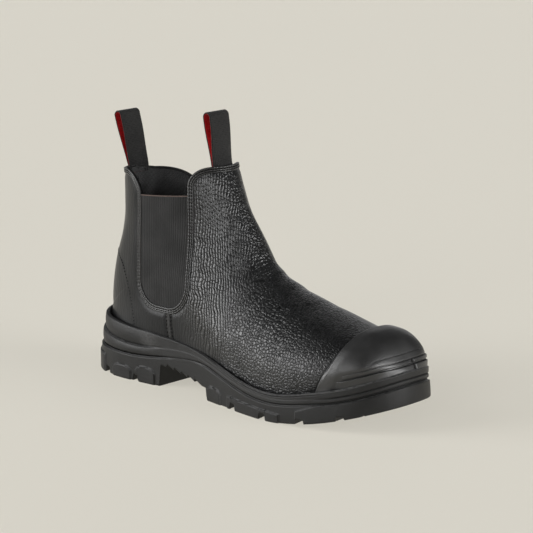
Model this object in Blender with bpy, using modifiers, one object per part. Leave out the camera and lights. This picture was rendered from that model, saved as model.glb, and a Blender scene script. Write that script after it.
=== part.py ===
"""Pull-on safety boot for the right foot, standing on its sole.

Metres, +Z up. While it is worked out, x runs from the back of the heel to the toe, y to the wearer's left
(so the outer side of this right boot is at negative y) and z up from the floor. ORIGIN then moves it so that
the frame's origin is on the floor under the middle of the boot.
"""
import math

import bmesh
import bpy
import numpy as np

# Driving sizes
LENGTH = 0.312
WALL = 0.0024
GAP = 0.0003
TOE_SPRING = 0.019
SPRING_START = 0.215
SPRING_POWER = 1.75
BREAST_X = 0.090
BREAST_TOP = 0.0180
ARCH_END_X = 0.145
ARCH_END_TOP = 0.009
STEP_RUN = 0.0012
DISH_INSET = 0.0030
CUT_TOP = 0.26
CUT_OVER = 0.01
CUT_SIDE = 0.09
SEAT_DEPTH = 0.0003
SKIVED_SHARE = 0.25

# Plan of the outsole: half widths on the outer and the inner side of the foot
OUTLINE_COLUMNS = ("x", "half_out", "half_in")
OUTLINE = (
    (0.000, 0.0000, 0.0000),
    (0.008, 0.0240, 0.0230),
    (0.025, 0.0370, 0.0360),
    (0.055, 0.0420, 0.0410),
    (0.090, 0.0410, 0.0385),
    (0.125, 0.0420, 0.0365),
    (0.165, 0.0490, 0.0410),
    (0.205, 0.0560, 0.0500),
    (0.240, 0.0565, 0.0545),
    (0.270, 0.0500, 0.0530),
    (0.290, 0.0390, 0.0475),
    (0.303, 0.0250, 0.0350),
    (0.312, 0.0000, 0.0000),
)

# Heights along the sole: outsole's dished top, its joint outside, step in the midsole's side, midsole's rim
SOLE_COLUMNS = ("x", "core", "joint", "band", "rim")
SOLE_LINES = (
    (0.000, 0.0215, 0.0225, 0.0365, 0.0490),
    (0.030, 0.0210, 0.0215, 0.0320, 0.0460),
    (0.062, 0.0205, 0.0210, 0.0290, 0.0430),
    (0.100, 0.0205, 0.0250, 0.0320, 0.0405),
    (0.135, 0.0180, 0.0275, 0.0315, 0.0360),
    (0.165, 0.0140, 0.0215, 0.0250, 0.0290),
    (0.200, 0.0125, 0.0150, 0.0190, 0.0225),
    (0.228, 0.0125, 0.0145, 0.0185, 0.0222),
    (0.255, 0.0140, 0.0185, 0.0225, 0.0270),
    (0.289, 0.0195, 0.0255, 0.0300, 0.0355),
    (0.312, 0.0260, 0.0340, 0.0385, 0.0440),
)

# Rings of the midsole's side: line they follow, height above it, and insets all round, at the heel, at its very
# back and at the toe
MIDSOLE_COLUMNS = ("line", "above", "side_wall", "heel", "back", "toe")
MIDSOLE_LEVELS = (
    ("joint", 0.0012, 0.0003, 0.0006, 0.0010, 0.0008),
    ("band", -0.0008, 0.0003, 0.0008, 0.0012, 0.0010),
    ("band", 0.0004, 0.0010, 0.0010, 0.0030, 0.0010),
    ("rim", -0.0012, 0.0014, 0.0010, 0.0038, 0.0014),
    ("rim", 0.0000, 0.0024, 0.0010, 0.0044, 0.0020),
)
HEEL_STEP_START = 0.070
HEEL_STEP_END = 0.115

# Raised pads on the outsole's wall: stretch along the boot, top at either end, how round the top is
PAD_COLUMNS = ("start", "end", "top_start", "top_end", "arch")
PADS = (
    (0.0000, 0.0250, 0.0170, 0.0150, 0.0000),
    (0.0375, 0.0590, 0.0110, 0.0110, 0.0040),
    (0.0640, 0.0850, 0.0130, 0.0130, 0.0040),
    (0.1460, 0.1635, 0.0125, 0.0115, 0.0030),
    (0.1720, 0.2310, 0.0115, 0.0065, 0.0000),
    (0.2460, 0.3120, 0.0150, 0.0320, 0.0000),
)
PAD_HEIGHT = 0.0012
PAD_EDGE = 0.0008
SOLE_BEVEL = 0.0006
SOLE_BEVEL_TOP = 0.0015
JOINT_BEVEL = 0.0012
PAD_LEAST = 0.0022
PAD_BELOW_JOINT = 0.0028

# Channels that part the lugs: place, width and how far each sweeps forward, in radians
CHANNEL_COLUMNS = ("x", "width", "sweep")
CHANNELS = (
    (0.0290, 0.0060, 0.00),
    (0.0645, 0.0060, 0.00),
    (0.1690, 0.0055, 0.20),
    (0.2030, 0.0065, 0.20),
    (0.2390, 0.0075, 0.20),
    (0.2720, 0.0060, 0.20),
)
CHANNEL_DEPTH = 0.0050
CHANNEL_SPINE = 0.0110
CHANNEL_REACH = 0.0750

# Fan of sections over the last, from the toe to the collar. Each runs from its ridge on top to its base on the
# feather line, or to the back seam. widest is the share of the way down where it is widest.
SECTION_COLUMNS = ("ridge_x", "ridge_z", "ridge_y", "base_x", "base_z", "half_out", "half_in",
                   "widest", "crown", "tail")
SECTIONS = (
    (0.3030, 0.0350, 0.0040, 0.3025, 0.0260, 0.0000, 0.0000, 0.60, 2.20, 2.40),  # toe tip
    (0.2990, 0.0495, 0.0040, 0.2900, 0.0232, 0.0265, 0.0335, 0.62, 2.30, 2.40),  # toe wall
    (0.2870, 0.0615, 0.0040, 0.2750, 0.0200, 0.0375, 0.0425, 0.66, 2.30, 2.40),  # toe top
    (0.2650, 0.0675, 0.0040, 0.2500, 0.0175, 0.0470, 0.0475, 0.68, 2.20, 2.40),  # cap edge
    (0.2360, 0.0760, 0.0050, 0.2140, 0.0160, 0.0500, 0.0465, 0.70, 2.10, 2.40),  # ball
    (0.2070, 0.0850, 0.0050, 0.1740, 0.0170, 0.0455, 0.0405, 0.66, 2.00, 2.30),  # vamp
    (0.1800, 0.0960, 0.0040, 0.1300, 0.0215, 0.0410, 0.0370, 0.60, 1.95, 2.20),  # instep
    (0.1660, 0.1090, 0.0030, 0.0900, 0.0265, 0.0385, 0.0360, 0.55, 1.95, 2.20),  # throat
    (0.1570, 0.1240, 0.0020, 0.0520, 0.0295, 0.0370, 0.0355, 0.52, 2.00, 2.20),  # heel
    (0.1505, 0.1350, 0.0010, 0.0230, 0.0310, 0.0362, 0.0350, 0.50, 2.00, 2.20),  # heel seat
    (0.1450, 0.1445, 0.0000, 0.0085, 0.0450, 0.0357, 0.0350, 0.50, 2.00, 2.10),  # heel back
    (0.1395, 0.1545, 0.0000, 0.0135, 0.0860, 0.0352, 0.0352, 0.50, 2.00, 2.10),  # ankle
    (0.1330, 0.1670, 0.0000, 0.0235, 0.1240, 0.0350, 0.0350, 0.50, 2.05, 2.05),  # shaft
    (0.1250, 0.1860, 0.0000, 0.0250, 0.1760, 0.0350, 0.0350, 0.50, 2.10, 2.10),  # above the collar
)
BACK_SEAM_ROW = 10
ROWS_PER_SECTION = 3
HALF_POINTS = 6
FEATHER_SIDE = 0.0055
FEATHER_HEEL = 0.0078
FEATHER_TOE = 0.0090
FEATHER_HEEL_RUN = 0.0400
FEATHER_TOE_START = 0.2550

# Collar edge seen from the side: shoulder of the back wing, elastic window and front wing, on either side
WING_COLUMNS = ("back_top", "back_flat_end", "back_low")
WING_OUT = (0.1675, 0.0440, 0.1480)
WING_IN = (0.1615, 0.0310, 0.1450)
BACK_SEAM_TOP = 0.1640
BACK_SEAM_X = 0.0200
FRONT_TOP = 0.1775
FRONT_SHOULDER_X = 0.1260
WINDOW_BACK = 0.0655
WINDOW_FRONT = 0.1155
WINDOW_FRONT_TOP = 0.1110
WINDOW_BOTTOM = 0.0640
WINDOW_ROUND = 0.0190
GORE_TOP_BACK = 0.1495
GORE_TOP_FRONT = 0.1535
GORE_SINK = 0.0005
GORE_THICK = 0.0016
GORE_FROM = 0.0120

# Toe cap: how far it stands off the upper, its back edge from the top down, and its ribs above the joint
CAP_THICK = 0.0040
CAP_FOOT_X = 0.2580
CAP_EDGE_COLUMNS = ("x", "z")
CAP_EDGE = (
    (0.2700, 0.0900),
    (0.2700, 0.0600),
    (0.2670, 0.0480),
    (0.2610, 0.0350),
)
RIB_COLUMNS = ("low", "high", "thick", "start")
RIBS = (
    (0.0112, 0.0160, 0.0060, 0.2790),
    (0.0168, 0.0202, 0.0054, 0.2800),
    (0.0210, 0.0255, 0.0048, 0.2810),
)

# Pull loops: webbing, how far it goes down inside the collar, and how it leans
WEB_WIDTH = 0.0235
WEB_THICK = 0.0013
LOOP_TUCK = 0.0140
LOOP_GAP = 0.0056
LOOP_BEND = 0.0180
LOOP_COLUMNS = ("collar_z", "top_z", "top_x", "clear")
LOOP_BACK = (0.1640, 0.2080, 0.0170, 0.0006)
LOOP_FRONT = (0.1775, 0.2170, 0.1150, 0.0015)

# Insole
INSOLE_THICK = 0.0035
INSOLE_INSET = 0.0056
INSOLE_START = 0.0330
INSOLE_END = 0.2880
INSOLE_ROUND_HEEL = 0.0280
INSOLE_ROUND_TOE = 0.0340

# Colour, roughness
FINISHES = {
    "outsole": ((0.020, 0.020, 0.020, 1.0), 0.60),
    "midsole": ((0.024, 0.024, 0.024, 1.0), 0.55),
    "toe_cap": ((0.022, 0.022, 0.022, 1.0), 0.45),
    "upper": ((0.016, 0.016, 0.016, 1.0), 0.42),
    "gore": ((0.030, 0.030, 0.031, 1.0), 0.85),
    "pull_loop": ((0.035, 0.034, 0.034, 1.0), 0.80),
    "insole": ((0.030, 0.030, 0.032, 1.0), 0.90),
}


def table(columns, rows):
    """A table's columns as arrays by name."""
    values = np.array(rows, dtype=float)
    return {name: values[:, i] for i, name in enumerate(columns)}


def row(columns, values):
    """One row of named values."""
    return dict(zip(columns, values))


def natural_spline(knots, values, at):
    """Cubic spline through the knots with no bend at its ends."""
    knots = np.asarray(knots, dtype=float)
    values = np.asarray(values, dtype=float)
    at = np.asarray(at, dtype=float)
    span = np.diff(knots)
    size = len(knots)
    system = np.eye(size)
    right = np.zeros(size)
    for i in range(1, size - 1):
        system[i, i - 1:i + 2] = span[i - 1], 2 * (span[i - 1] + span[i]), span[i]
        right[i] = 6 * ((values[i + 1] - values[i]) / span[i] - (values[i] - values[i - 1]) / span[i - 1])
    bend = np.linalg.solve(system, right)
    i = np.clip(np.searchsorted(knots, at) - 1, 0, size - 2)
    after = at - knots[i]
    before = knots[i + 1] - at
    cubic = (bend[i] * before**3 + bend[i + 1] * after**3) / (6 * span[i])
    low = (values[i] / span[i] - bend[i] * span[i] / 6) * before
    high = (values[i + 1] / span[i] - bend[i + 1] * span[i] / 6) * after
    return cubic + low + high


def smooth_step(value, start, end):
    """0 before start, 1 after end, with a soft rise between them."""
    share = np.clip((np.asarray(value, dtype=float) - start) / (end - start), 0.0, 1.0)
    return share * share * (3 - 2 * share)


def turn_of(x):
    """Angle along the boot: 0 at the heel's back, pi at the toe, so that widths grow round at both ends."""
    return np.arccos(np.clip(1 - 2 * np.asarray(x, dtype=float) / LENGTH, -1.0, 1.0))


PLAN = table(OUTLINE_COLUMNS, OUTLINE)
SOLE = table(SOLE_COLUMNS, SOLE_LINES)
LAST = table(SECTION_COLUMNS, SECTIONS)


def half_width(x, side):
    """Half width of the outsole's plan at x, on the outer (-1) or the inner (1) side."""
    column = "half_out" if side < 0 else "half_in"
    return np.maximum(natural_spline(turn_of(PLAN["x"]), PLAN[column], turn_of(x)), 0.0)


def sole_height(line, x):
    """Height of one of the sole's lines at x."""
    return natural_spline(SOLE["x"], SOLE[line], np.clip(x, 0.0, LENGTH))


def ground(x):
    """Underside of the outsole: heel on the floor, arch, forefoot on the floor, toe spring."""
    x = np.asarray(x, dtype=float)
    rise = np.clip((x - SPRING_START) / (LENGTH - SPRING_START), 0.0, None)
    spring = TOE_SPRING * rise**SPRING_POWER
    share = (x - BREAST_X) / (ARCH_END_X - BREAST_X)
    arch = BREAST_TOP + (ARCH_END_TOP - BREAST_TOP) * smooth_step(share, -0.2, 1.1)
    over = np.clip((x - BREAST_X) / STEP_RUN, 0.0, 1.0) * np.clip((ARCH_END_X - x) / STEP_RUN, 0.0, 1.0)
    return spring + arch * over


def plan_normals(x, side):
    """Outward normal of the plan outline at x on one side."""
    t = turn_of(x)
    step = 0.002
    ahead = np.clip(t + step, 0.0, math.pi)
    behind = np.clip(t - step, 0.0, math.pi)
    x_ahead = LENGTH / 2 * (1 - np.cos(ahead))
    x_behind = LENGTH / 2 * (1 - np.cos(behind))
    dx = x_ahead - x_behind
    dy = side * (half_width(x_ahead, side) - half_width(x_behind, side))
    at_tip = np.hypot(dx, dy) < 1e-9
    length = np.where(at_tip, 1.0, np.hypot(dx, dy))
    nx = np.where(at_tip, np.where(x < LENGTH / 2, -1.0, 1.0), -side * dy / length)
    ny = np.where(at_tip, 0.0, side * dx / length)
    ends = (t < step) | (t > math.pi - step)
    nx = np.where(ends, np.where(x < LENGTH / 2, -1.0, 1.0), nx)
    ny = np.where(ends, 0.0, ny)
    return nx, ny


def plan_points(x, side, inset):
    """Points of the plan outline at the stations x, moved in along the normal."""
    nx, ny = plan_normals(x, side)
    return np.column_stack([x - nx * inset, side * half_width(x, side) - ny * inset])


def stations():
    """Places along the boot where the sole's rings have points: even in angle, and doubled at each step."""
    even = LENGTH / 2 * (1 - np.cos(np.linspace(0.0, math.pi, 39)))
    steps = [BREAST_X, BREAST_X + STEP_RUN, ARCH_END_X - STEP_RUN, ARCH_END_X]
    for values in PADS:
        pad = row(PAD_COLUMNS, values)
        steps += [pad["start"] - PAD_EDGE, pad["start"], pad["end"], pad["end"] + PAD_EDGE]
    steps = np.array([s for s in steps if 0.0 < s < LENGTH])
    clear = np.array([np.abs(steps - x).min() > 2 * PAD_EDGE for x in even])
    clear[[0, -1]] = True
    return np.sort(np.concatenate([even[clear], steps]))


def pad_share(x):
    """1 on the raised pads of the outsole's wall, 0 between them."""
    share = np.zeros_like(x)
    for values in PADS:
        pad = row(PAD_COLUMNS, values)
        share = np.maximum(share, ((x > pad["start"] - 1e-6) & (x < pad["end"] + 1e-6)).astype(float))
    return share


STATIONS = stations()
ON_PADS = STATIONS[pad_share(STATIONS) > 0]
ORIGIN = np.array([LENGTH / 2, (half_width(ON_PADS, 1).max() - half_width(ON_PADS, -1).max()) / 2, 0.0])


def collection(name):
    """A new collection in the scene."""
    made = bpy.data.collections.new(name)
    bpy.context.scene.collection.children.link(made)
    return made


def clear_scene():
    for item in list(bpy.data.objects):
        bpy.data.objects.remove(item, do_unlink=True)


def finish(name):
    """Principled material for a family of pieces."""
    if name in bpy.data.materials:
        return bpy.data.materials[name]
    colour, roughness = FINISHES[name]
    material = bpy.data.materials.new(name)
    material.use_nodes = True
    shader = material.node_tree.nodes["Principled BSDF"]
    shader.inputs["Base Color"].default_value = colour
    shader.inputs["Roughness"].default_value = roughness
    shader.inputs["Metallic"].default_value = 0.0
    return material


def mesh_object(name, points, faces, where, offset=0.0):
    """Object from points and faces, with doubles merged, then moved out along its normals by offset."""
    mesh = bpy.data.meshes.new(name)
    mesh.from_pydata((np.asarray(points) - ORIGIN).tolist(), [], faces)
    shape = bmesh.new()
    shape.from_mesh(mesh)
    bmesh.ops.remove_doubles(shape, verts=shape.verts, dist=0.00001)
    bmesh.ops.dissolve_degenerate(shape, edges=shape.edges, dist=0.00001)
    shape.normal_update()
    if offset:
        moves = [(vert, vert.normal * offset) for vert in shape.verts]
        for vert, move in moves:
            vert.co += move
    shape.to_mesh(mesh)
    shape.free()
    made = bpy.data.objects.new(name, mesh)
    where.objects.link(made)
    return made


def as_cutter(item):
    item.hide_render = True
    item.display_type = "WIRE"
    return item


def prism(name, outline, y_low, y_high, where):
    """Cutter: an outline in x and z, filled and carried across the boot from y_low to y_high."""
    curve = bpy.data.curves.new(name, "CURVE")
    curve.dimensions = "2D"
    curve.fill_mode = "BOTH"
    curve.extrude = (y_high - y_low) / 2
    spline = curve.splines.new("POLY")
    spline.points.add(len(outline) - 1)
    for point, (x, z) in zip(spline.points, outline):
        point.co = (x - ORIGIN[0], z, 0.0, 1.0)
    spline.use_cyclic_u = True
    drawn = bpy.data.objects.new(name + "_outline", curve)
    where.objects.link(drawn)
    drawn.rotation_euler = (math.pi / 2, 0.0, 0.0)
    drawn.location = (0.0, (y_low + y_high) / 2 - ORIGIN[1], 0.0)
    bpy.context.view_layer.update()
    mesh = bpy.data.meshes.new_from_object(drawn.evaluated_get(bpy.context.evaluated_depsgraph_get()))
    place = drawn.matrix_world.copy()
    bpy.data.objects.remove(drawn, do_unlink=True)
    shape = bmesh.new()
    shape.from_mesh(mesh)
    bmesh.ops.remove_doubles(shape, verts=shape.verts, dist=0.00001)
    bmesh.ops.recalc_face_normals(shape, faces=shape.faces)
    shape.to_mesh(mesh)
    shape.free()
    made = bpy.data.objects.new(name, mesh)
    made.matrix_world = place
    where.objects.link(made)
    return as_cutter(made)


def boolean(item, operation, other):
    change = item.modifiers.new(operation.lower() + "_" + other.name, "BOOLEAN")
    change.operation = operation
    change.solver = "EXACT"
    change.object = other


def stacked_solid(name, levels, where, rising):
    """Closed solid from rings of the plan: each level gives heights and insets at every station.

    The sides are split along the diagonal that rises towards the toe, or along the other one, so that two
    solids that meet along the same rings have the same facets there.
    """
    count = len(STATIONS)
    points = []
    for height, inset in levels:
        for side in (-1, 1):
            ring = plan_points(STATIONS, side, inset(STATIONS, side))
            points.append(np.column_stack([ring, height(ring[:, 0])]))
    points = np.concatenate(points)
    faces = []
    up = 2 * count
    for level in range(len(levels) - 1):
        for i in range(count - 1):
            out = level * up + i
            inn = out + count
            if rising:
                faces += [(out, out + 1, out + 1 + up), (out, out + 1 + up, out + up)]
                faces += [(inn + 1, inn, inn + 1 + up), (inn, inn + up, inn + 1 + up)]
            else:
                faces += [(out, out + 1, out + up), (out + 1, out + 1 + up, out + up)]
                faces += [(inn + 1, inn, inn + up), (inn + 1, inn + up, inn + 1 + up)]
    top = (len(levels) - 1) * up
    for i in range(count - 1):
        faces += [(i + 1, i, count + i + 1), (i, count + i, count + i + 1)]
        j = top + i
        faces += [(j, j + 1, j + count + 1), (j, j + count + 1, j + count)]
    return mesh_object(name, points, faces, where)


def pad_top(x):
    """Height of the pads' upper edge, and of the line that goes on between them."""
    top = ground(x) + 0.5 * (sole_height("joint", x) - ground(x))
    for values in PADS:
        pad = row(PAD_COLUMNS, values)
        share = np.clip((x - pad["start"]) / (pad["end"] - pad["start"]), 0.0, 1.0)
        line = pad["top_start"] + (pad["top_end"] - pad["top_start"]) * share
        line = line - pad["arch"] * (2 * share - 1) ** 4
        inside = (x > pad["start"] - 2 * PAD_EDGE) & (x < pad["end"] + 2 * PAD_EDGE)
        top = np.where(inside, line, top)
    return np.clip(top, ground(x) + PAD_LEAST, sole_height("joint", x) - PAD_BELOW_JOINT)


def build_outsole(parts, cutters):
    def wall(extra):
        return lambda x, side: PAD_HEIGHT + extra + 0.0 * x

    def on_pads(extra):
        return lambda x, side: PAD_HEIGHT * (1 - pad_share(x)) + extra

    levels = (
        (ground, on_pads(SOLE_BEVEL)),
        (lambda x: ground(x) + SOLE_BEVEL_TOP, on_pads(0.0)),
        (pad_top, on_pads(0.0)),
        (lambda x: pad_top(x) + PAD_EDGE, wall(0.0)),
        (lambda x: sole_height("joint", x) - JOINT_BEVEL, wall(0.0)),
        (lambda x: sole_height("joint", x), wall(JOINT_BEVEL)),
        (lambda x: sole_height("core", x), wall(DISH_INSET)),
    )
    outsole = stacked_solid("outsole", levels, parts, rising=True)
    for i, values in enumerate(CHANNELS):
        channel = row(CHANNEL_COLUMNS, values)
        for side, word in ((-1, "out"), (1, "in")):
            bpy.ops.mesh.primitive_cube_add(size=1.0)
            box = bpy.context.object
            box.name = f"channel_{i}_{word}"
            for held in list(box.users_collection):
                held.objects.unlink(box)
            cutters.objects.link(box)
            reach = CHANNEL_REACH - CHANNEL_SPINE
            middle = side * (CHANNEL_SPINE + reach / 2)
            shift = math.tan(channel["sweep"]) * abs(middle)
            depth = 2 * CHANNEL_DEPTH
            box.scale = (channel["width"], reach, depth)
            box.rotation_euler = (0.0, 0.0, -side * channel["sweep"])
            z = float(ground(channel["x"]))
            box.location = (channel["x"] + shift - ORIGIN[0], middle - ORIGIN[1], z)
            boolean(outsole, "DIFFERENCE", as_cutter(box))
    return outsole


def build_midsole(parts, last_clear):
    def inset(side_wall, heel, back, toe):
        """Inset made of a share all round, one at the heel, one at its very back and one at the toe."""
        def at(x, side):
            nx, _ = plan_normals(x, side)
            at_heel = 1 - smooth_step(x, HEEL_STEP_START, HEEL_STEP_END)
            backward = np.clip(-nx, 0.0, 1.0) ** 1.5
            forward = np.clip(nx, 0.0, 1.0) ** 2
            return PAD_HEIGHT + side_wall + at_heel * (heel + back * backward) + toe * forward
        return at

    def over(line, extra):
        return lambda x: sole_height(line, x) + extra

    levels = (
        (over("core", GAP), inset(DISH_INSET, 0.0, 0.0, 0.0)),
        (over("joint", GAP), inset(JOINT_BEVEL, 0.0, 0.0, 0.0)),
    )
    for values in MIDSOLE_LEVELS:
        level = row(MIDSOLE_COLUMNS, values)
        levels += ((over(level["line"], level["above"]),
                    inset(level["side_wall"], level["heel"], level["back"], level["toe"])),)
    midsole = stacked_solid("midsole", levels, parts, rising=False)
    boolean(midsole, "DIFFERENCE", last_clear)
    return midsole


def feather_half(x, side):
    """Half width of the feather line, where the upper meets the sole, at x."""
    along = LENGTH / 2 * (1 - np.cos(np.linspace(0.0, math.pi, 241)))
    heel = (FEATHER_HEEL - FEATHER_SIDE) * np.clip(1 - along / FEATHER_HEEL_RUN, 0.0, 1.0) ** 2
    ahead = np.clip((along - FEATHER_TOE_START) / (LENGTH - FEATHER_TOE_START), 0.0, 1.0)
    toe = (FEATHER_TOE - FEATHER_SIDE) * ahead**1.5
    curve = plan_points(along, side, FEATHER_SIDE + heel + toe)
    return np.interp(x, curve[:, 0], np.abs(curve[:, 1]), left=0.0, right=0.0)


def last_columns(rows):
    """The sections' values between the table's rows. Rows mirrored ahead of the tip keep the toe round."""
    ahead = 2
    knots = np.arange(-ahead, len(SECTIONS))
    columns = {}
    for name, values in LAST.items():
        sign = -1.0 if name in ("half_out", "half_in") else 1.0
        mirrored = sign * values[ahead:0:-1]
        columns[name] = natural_spline(knots, np.concatenate([mirrored, values]), rows)
    return columns


def last_grid():
    """Grid of points over the last: a row for each section, from the outer base over the ridge to the inner.

    The front half of a section is a superellipse from its ridge to its widest point, and the rest is one from
    there to its base.
    """
    rows = np.linspace(0.0, len(SECTIONS) - 1, (len(SECTIONS) - 1) * ROWS_PER_SECTION + 1)
    values = {name: column[:, None] for name, column in last_columns(rows).items()}
    seam = rows[:, None] > BACK_SEAM_ROW - 1e-6
    share = np.linspace(0.0, 1.0, HALF_POINTS * 2 + 1)[None, :]
    on_front = share <= 0.5
    front = np.clip(share * 2, 0.0, 1.0) * math.pi / 2
    halves = []
    for side, name in ((-1, "half_out"), (1, "half_in")):
        half = np.maximum(values[name], 1e-6)
        foot = feather_half(values["base_x"][:, 0], side)[:, None]
        end = np.where(seam, 0.0, np.clip(foot / half, 0.0, 0.985))
        tail = values["tail"]
        crown = values["crown"]
        stop = np.arccos(end ** (tail / 2))
        back = np.clip(share * 2 - 1, 0.0, 1.0) * stop
        widest = values["widest"]
        reach = (1 - widest) / np.maximum(np.sin(stop), 1e-6) ** (2 / tail)
        down_front = widest * (1 - np.cos(front) ** (2 / crown))
        down_back = widest + reach * np.sin(back) ** (2 / tail)
        down = np.where(on_front, down_front, down_back)
        out_front = values["ridge_y"] + (side * half - values["ridge_y"]) * np.sin(front) ** (2 / crown)
        out_back = side * half * np.cos(back) ** (2 / tail)
        tip = rows[:, None] < 1e-6
        y = np.where(tip, values["ridge_y"], np.where(on_front, out_front, out_back))
        x = values["ridge_x"] + (values["base_x"] - values["ridge_x"]) * down
        z = values["ridge_z"] + (values["base_z"] - values["ridge_z"]) * down
        halves.append(np.stack([x, y, z], axis=-1))
    return np.concatenate([halves[0][:, ::-1], halves[1][:, 1:]], axis=1), rows


def last_object(name, where, offset=0.0, closed=True):
    """The last's form, moved out by offset: an open skin, or closed at the collar and just under its base."""
    grid, rows = last_grid()
    if closed:
        grid[:, [0, -1], 2] -= SEAT_DEPTH * (rows < BACK_SEAM_ROW - 1e-6)[:, None]
    count, across = grid.shape[:2]
    faces = []
    for i in range(count - 1):
        for j in range(across - 1):
            a = i * across + j
            b = a + across
            faces += [(a, a + 1, b), (a + 1, b + 1, b)]
    if closed:
        for i in range(count - 1):
            if rows[i] < BACK_SEAM_ROW - 1e-6:
                low = i * across
                faces.append((low, low + across, low + 2 * across - 1, low + across - 1))
        last = (count - 1) * across
        faces.append(tuple(last + j for j in range(across - 1)))
    return mesh_object(name, grid.reshape(-1, 3), faces, where, offset)


def window_foot(clear):
    """Lower part of the elastic window's outline, from its back edge to its front edge, drawn in by clear."""
    turn = np.linspace(0.0, math.pi / 2, 7)
    back = WINDOW_BACK + clear
    front = WINDOW_FRONT - clear
    bottom = WINDOW_BOTTOM + clear
    low_back = np.column_stack([
        back + WINDOW_ROUND * (1 - np.cos(turn)),
        bottom + WINDOW_ROUND * (1 - np.sin(turn))])
    low_front = np.column_stack([
        front - WINDOW_ROUND * (1 - np.sin(turn)),
        bottom + WINDOW_ROUND * (1 - np.cos(turn))])
    return np.concatenate([low_back, low_front])


def wing_outline(wing):
    """Outline, in x and z, of what is cut away above the collar and at the elastic window, on one side."""
    shape = row(WING_COLUMNS, wing)
    turn = np.linspace(0.0, math.pi / 2, 7)
    back_run = WINDOW_BACK - shape["back_flat_end"]
    back_drop = shape["back_top"] - shape["back_low"]
    back_shoulder = np.column_stack([
        shape["back_flat_end"] + back_run * np.sin(turn),
        shape["back_low"] + back_drop * np.cos(turn)])
    front_run = FRONT_SHOULDER_X - WINDOW_FRONT_TOP
    front_shoulder = np.column_stack([
        WINDOW_FRONT_TOP + front_run * (1 - np.cos(turn)),
        FRONT_TOP - front_run * (1 - np.sin(turn))])
    ends = np.array([(LENGTH, FRONT_TOP), (LENGTH, CUT_TOP), (-CUT_OVER, CUT_TOP), (-CUT_OVER, BACK_SEAM_TOP),
                     (BACK_SEAM_X, BACK_SEAM_TOP)])
    return np.concatenate([back_shoulder, window_foot(0.0), front_shoulder, ends])


def gore_outline():
    """Outline of an elastic panel: the window, clear of its edge, up to the panel's top."""
    foot = window_foot(GAP)
    knee = foot[-1]
    share = (GORE_TOP_FRONT - knee[1]) / (FRONT_TOP - (FRONT_SHOULDER_X - WINDOW_FRONT_TOP) - knee[1])
    top_front = knee[0] + (WINDOW_FRONT_TOP - GAP - knee[0]) * share - GAP / 2
    return np.concatenate([foot, [(top_front, GORE_TOP_FRONT), (foot[0, 0], GORE_TOP_BACK)]])


def build_upper(parts, cutters):
    """Leather wall of even thickness, skived thin along the feather edge that sits in the midsole."""
    upper = last_object("upper", parts, closed=False)
    rims = bmesh.new()
    rims.from_mesh(upper.data)
    skived = [vert.index for vert in rims.verts if vert.is_boundary and vert.co.z < WINDOW_BOTTOM]
    full = [vert.index for vert in rims.verts if vert.index not in set(skived)]
    rims.free()
    thickness = upper.vertex_groups.new(name="thickness")
    thickness.add(full, 1.0, "REPLACE")
    thickness.add(skived, SKIVED_SHARE, "REPLACE")
    wall = upper.modifiers.new("wall", "SOLIDIFY")
    wall.thickness = WALL
    wall.offset = -1.0
    wall.vertex_group = thickness.name
    for wing, low, high, word in ((WING_OUT, -CUT_SIDE, 0.0, "out"), (WING_IN, 0.0, CUT_SIDE, "in")):
        boolean(upper, "DIFFERENCE", prism("collar_" + word, wing_outline(wing), low, high, cutters))
    return upper


def build_gores(parts, cutters):
    inner = as_cutter(last_object("gore_back", cutters, -GORE_SINK - GORE_THICK))
    made = []
    for word, low, high in (("outer", -CUT_SIDE, -GORE_FROM), ("inner", GORE_FROM, CUT_SIDE)):
        gore = last_object("gore_" + word, parts, -GORE_SINK)
        boolean(gore, "INTERSECT", prism("gore_cut_" + word, gore_outline(), low, high, cutters))
        boolean(gore, "DIFFERENCE", inner)
        made.append(gore)
    return made


def build_toe_cap(parts, cutters, last_clear):
    cap = last_object("toe_cap", parts, CAP_THICK)
    ahead = LENGTH + CUT_OVER
    edge = table(CAP_EDGE_COLUMNS, CAP_EDGE)
    along = np.linspace(CAP_FOOT_X, ahead, 12)
    back = np.column_stack([edge["x"], edge["z"]])
    foot = np.column_stack([along, sole_height("rim", along) + GAP])
    outline = np.concatenate([back, foot, [(ahead, edge["z"][0])]])
    boolean(cap, "INTERSECT", prism("cap_cut", outline, -CUT_SIDE, CUT_SIDE, cutters))
    for i, values in enumerate(RIBS):
        rib = row(RIB_COLUMNS, values)
        band = last_object(f"rib_{i}", cutters, rib["thick"])
        along = np.linspace(rib["start"], ahead, 8)
        joint = sole_height("joint", along)
        lower = np.column_stack([along, joint + rib["low"]])
        upper = np.column_stack([along, joint + rib["high"]])[::-1]
        outline = np.concatenate([lower, upper])
        boolean(band, "INTERSECT", prism(f"rib_cut_{i}", outline, -CUT_SIDE, CUT_SIDE, cutters))
        boolean(cap, "UNION", as_cutter(band))
    boolean(cap, "DIFFERENCE", last_clear)
    return cap


def wall_line(z, front):
    """x of the upper's inner face at height z, in the middle of the shaft's front or back."""
    rows = np.linspace(BACK_SEAM_ROW, len(SECTIONS) - 1, 60)
    values = last_columns(rows)
    names = ("ridge_x", "ridge_z") if front else ("base_x", "base_z")
    inward = -WALL if front else WALL
    return np.interp(z, values[names[1]], values[names[0]]) + inward


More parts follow.
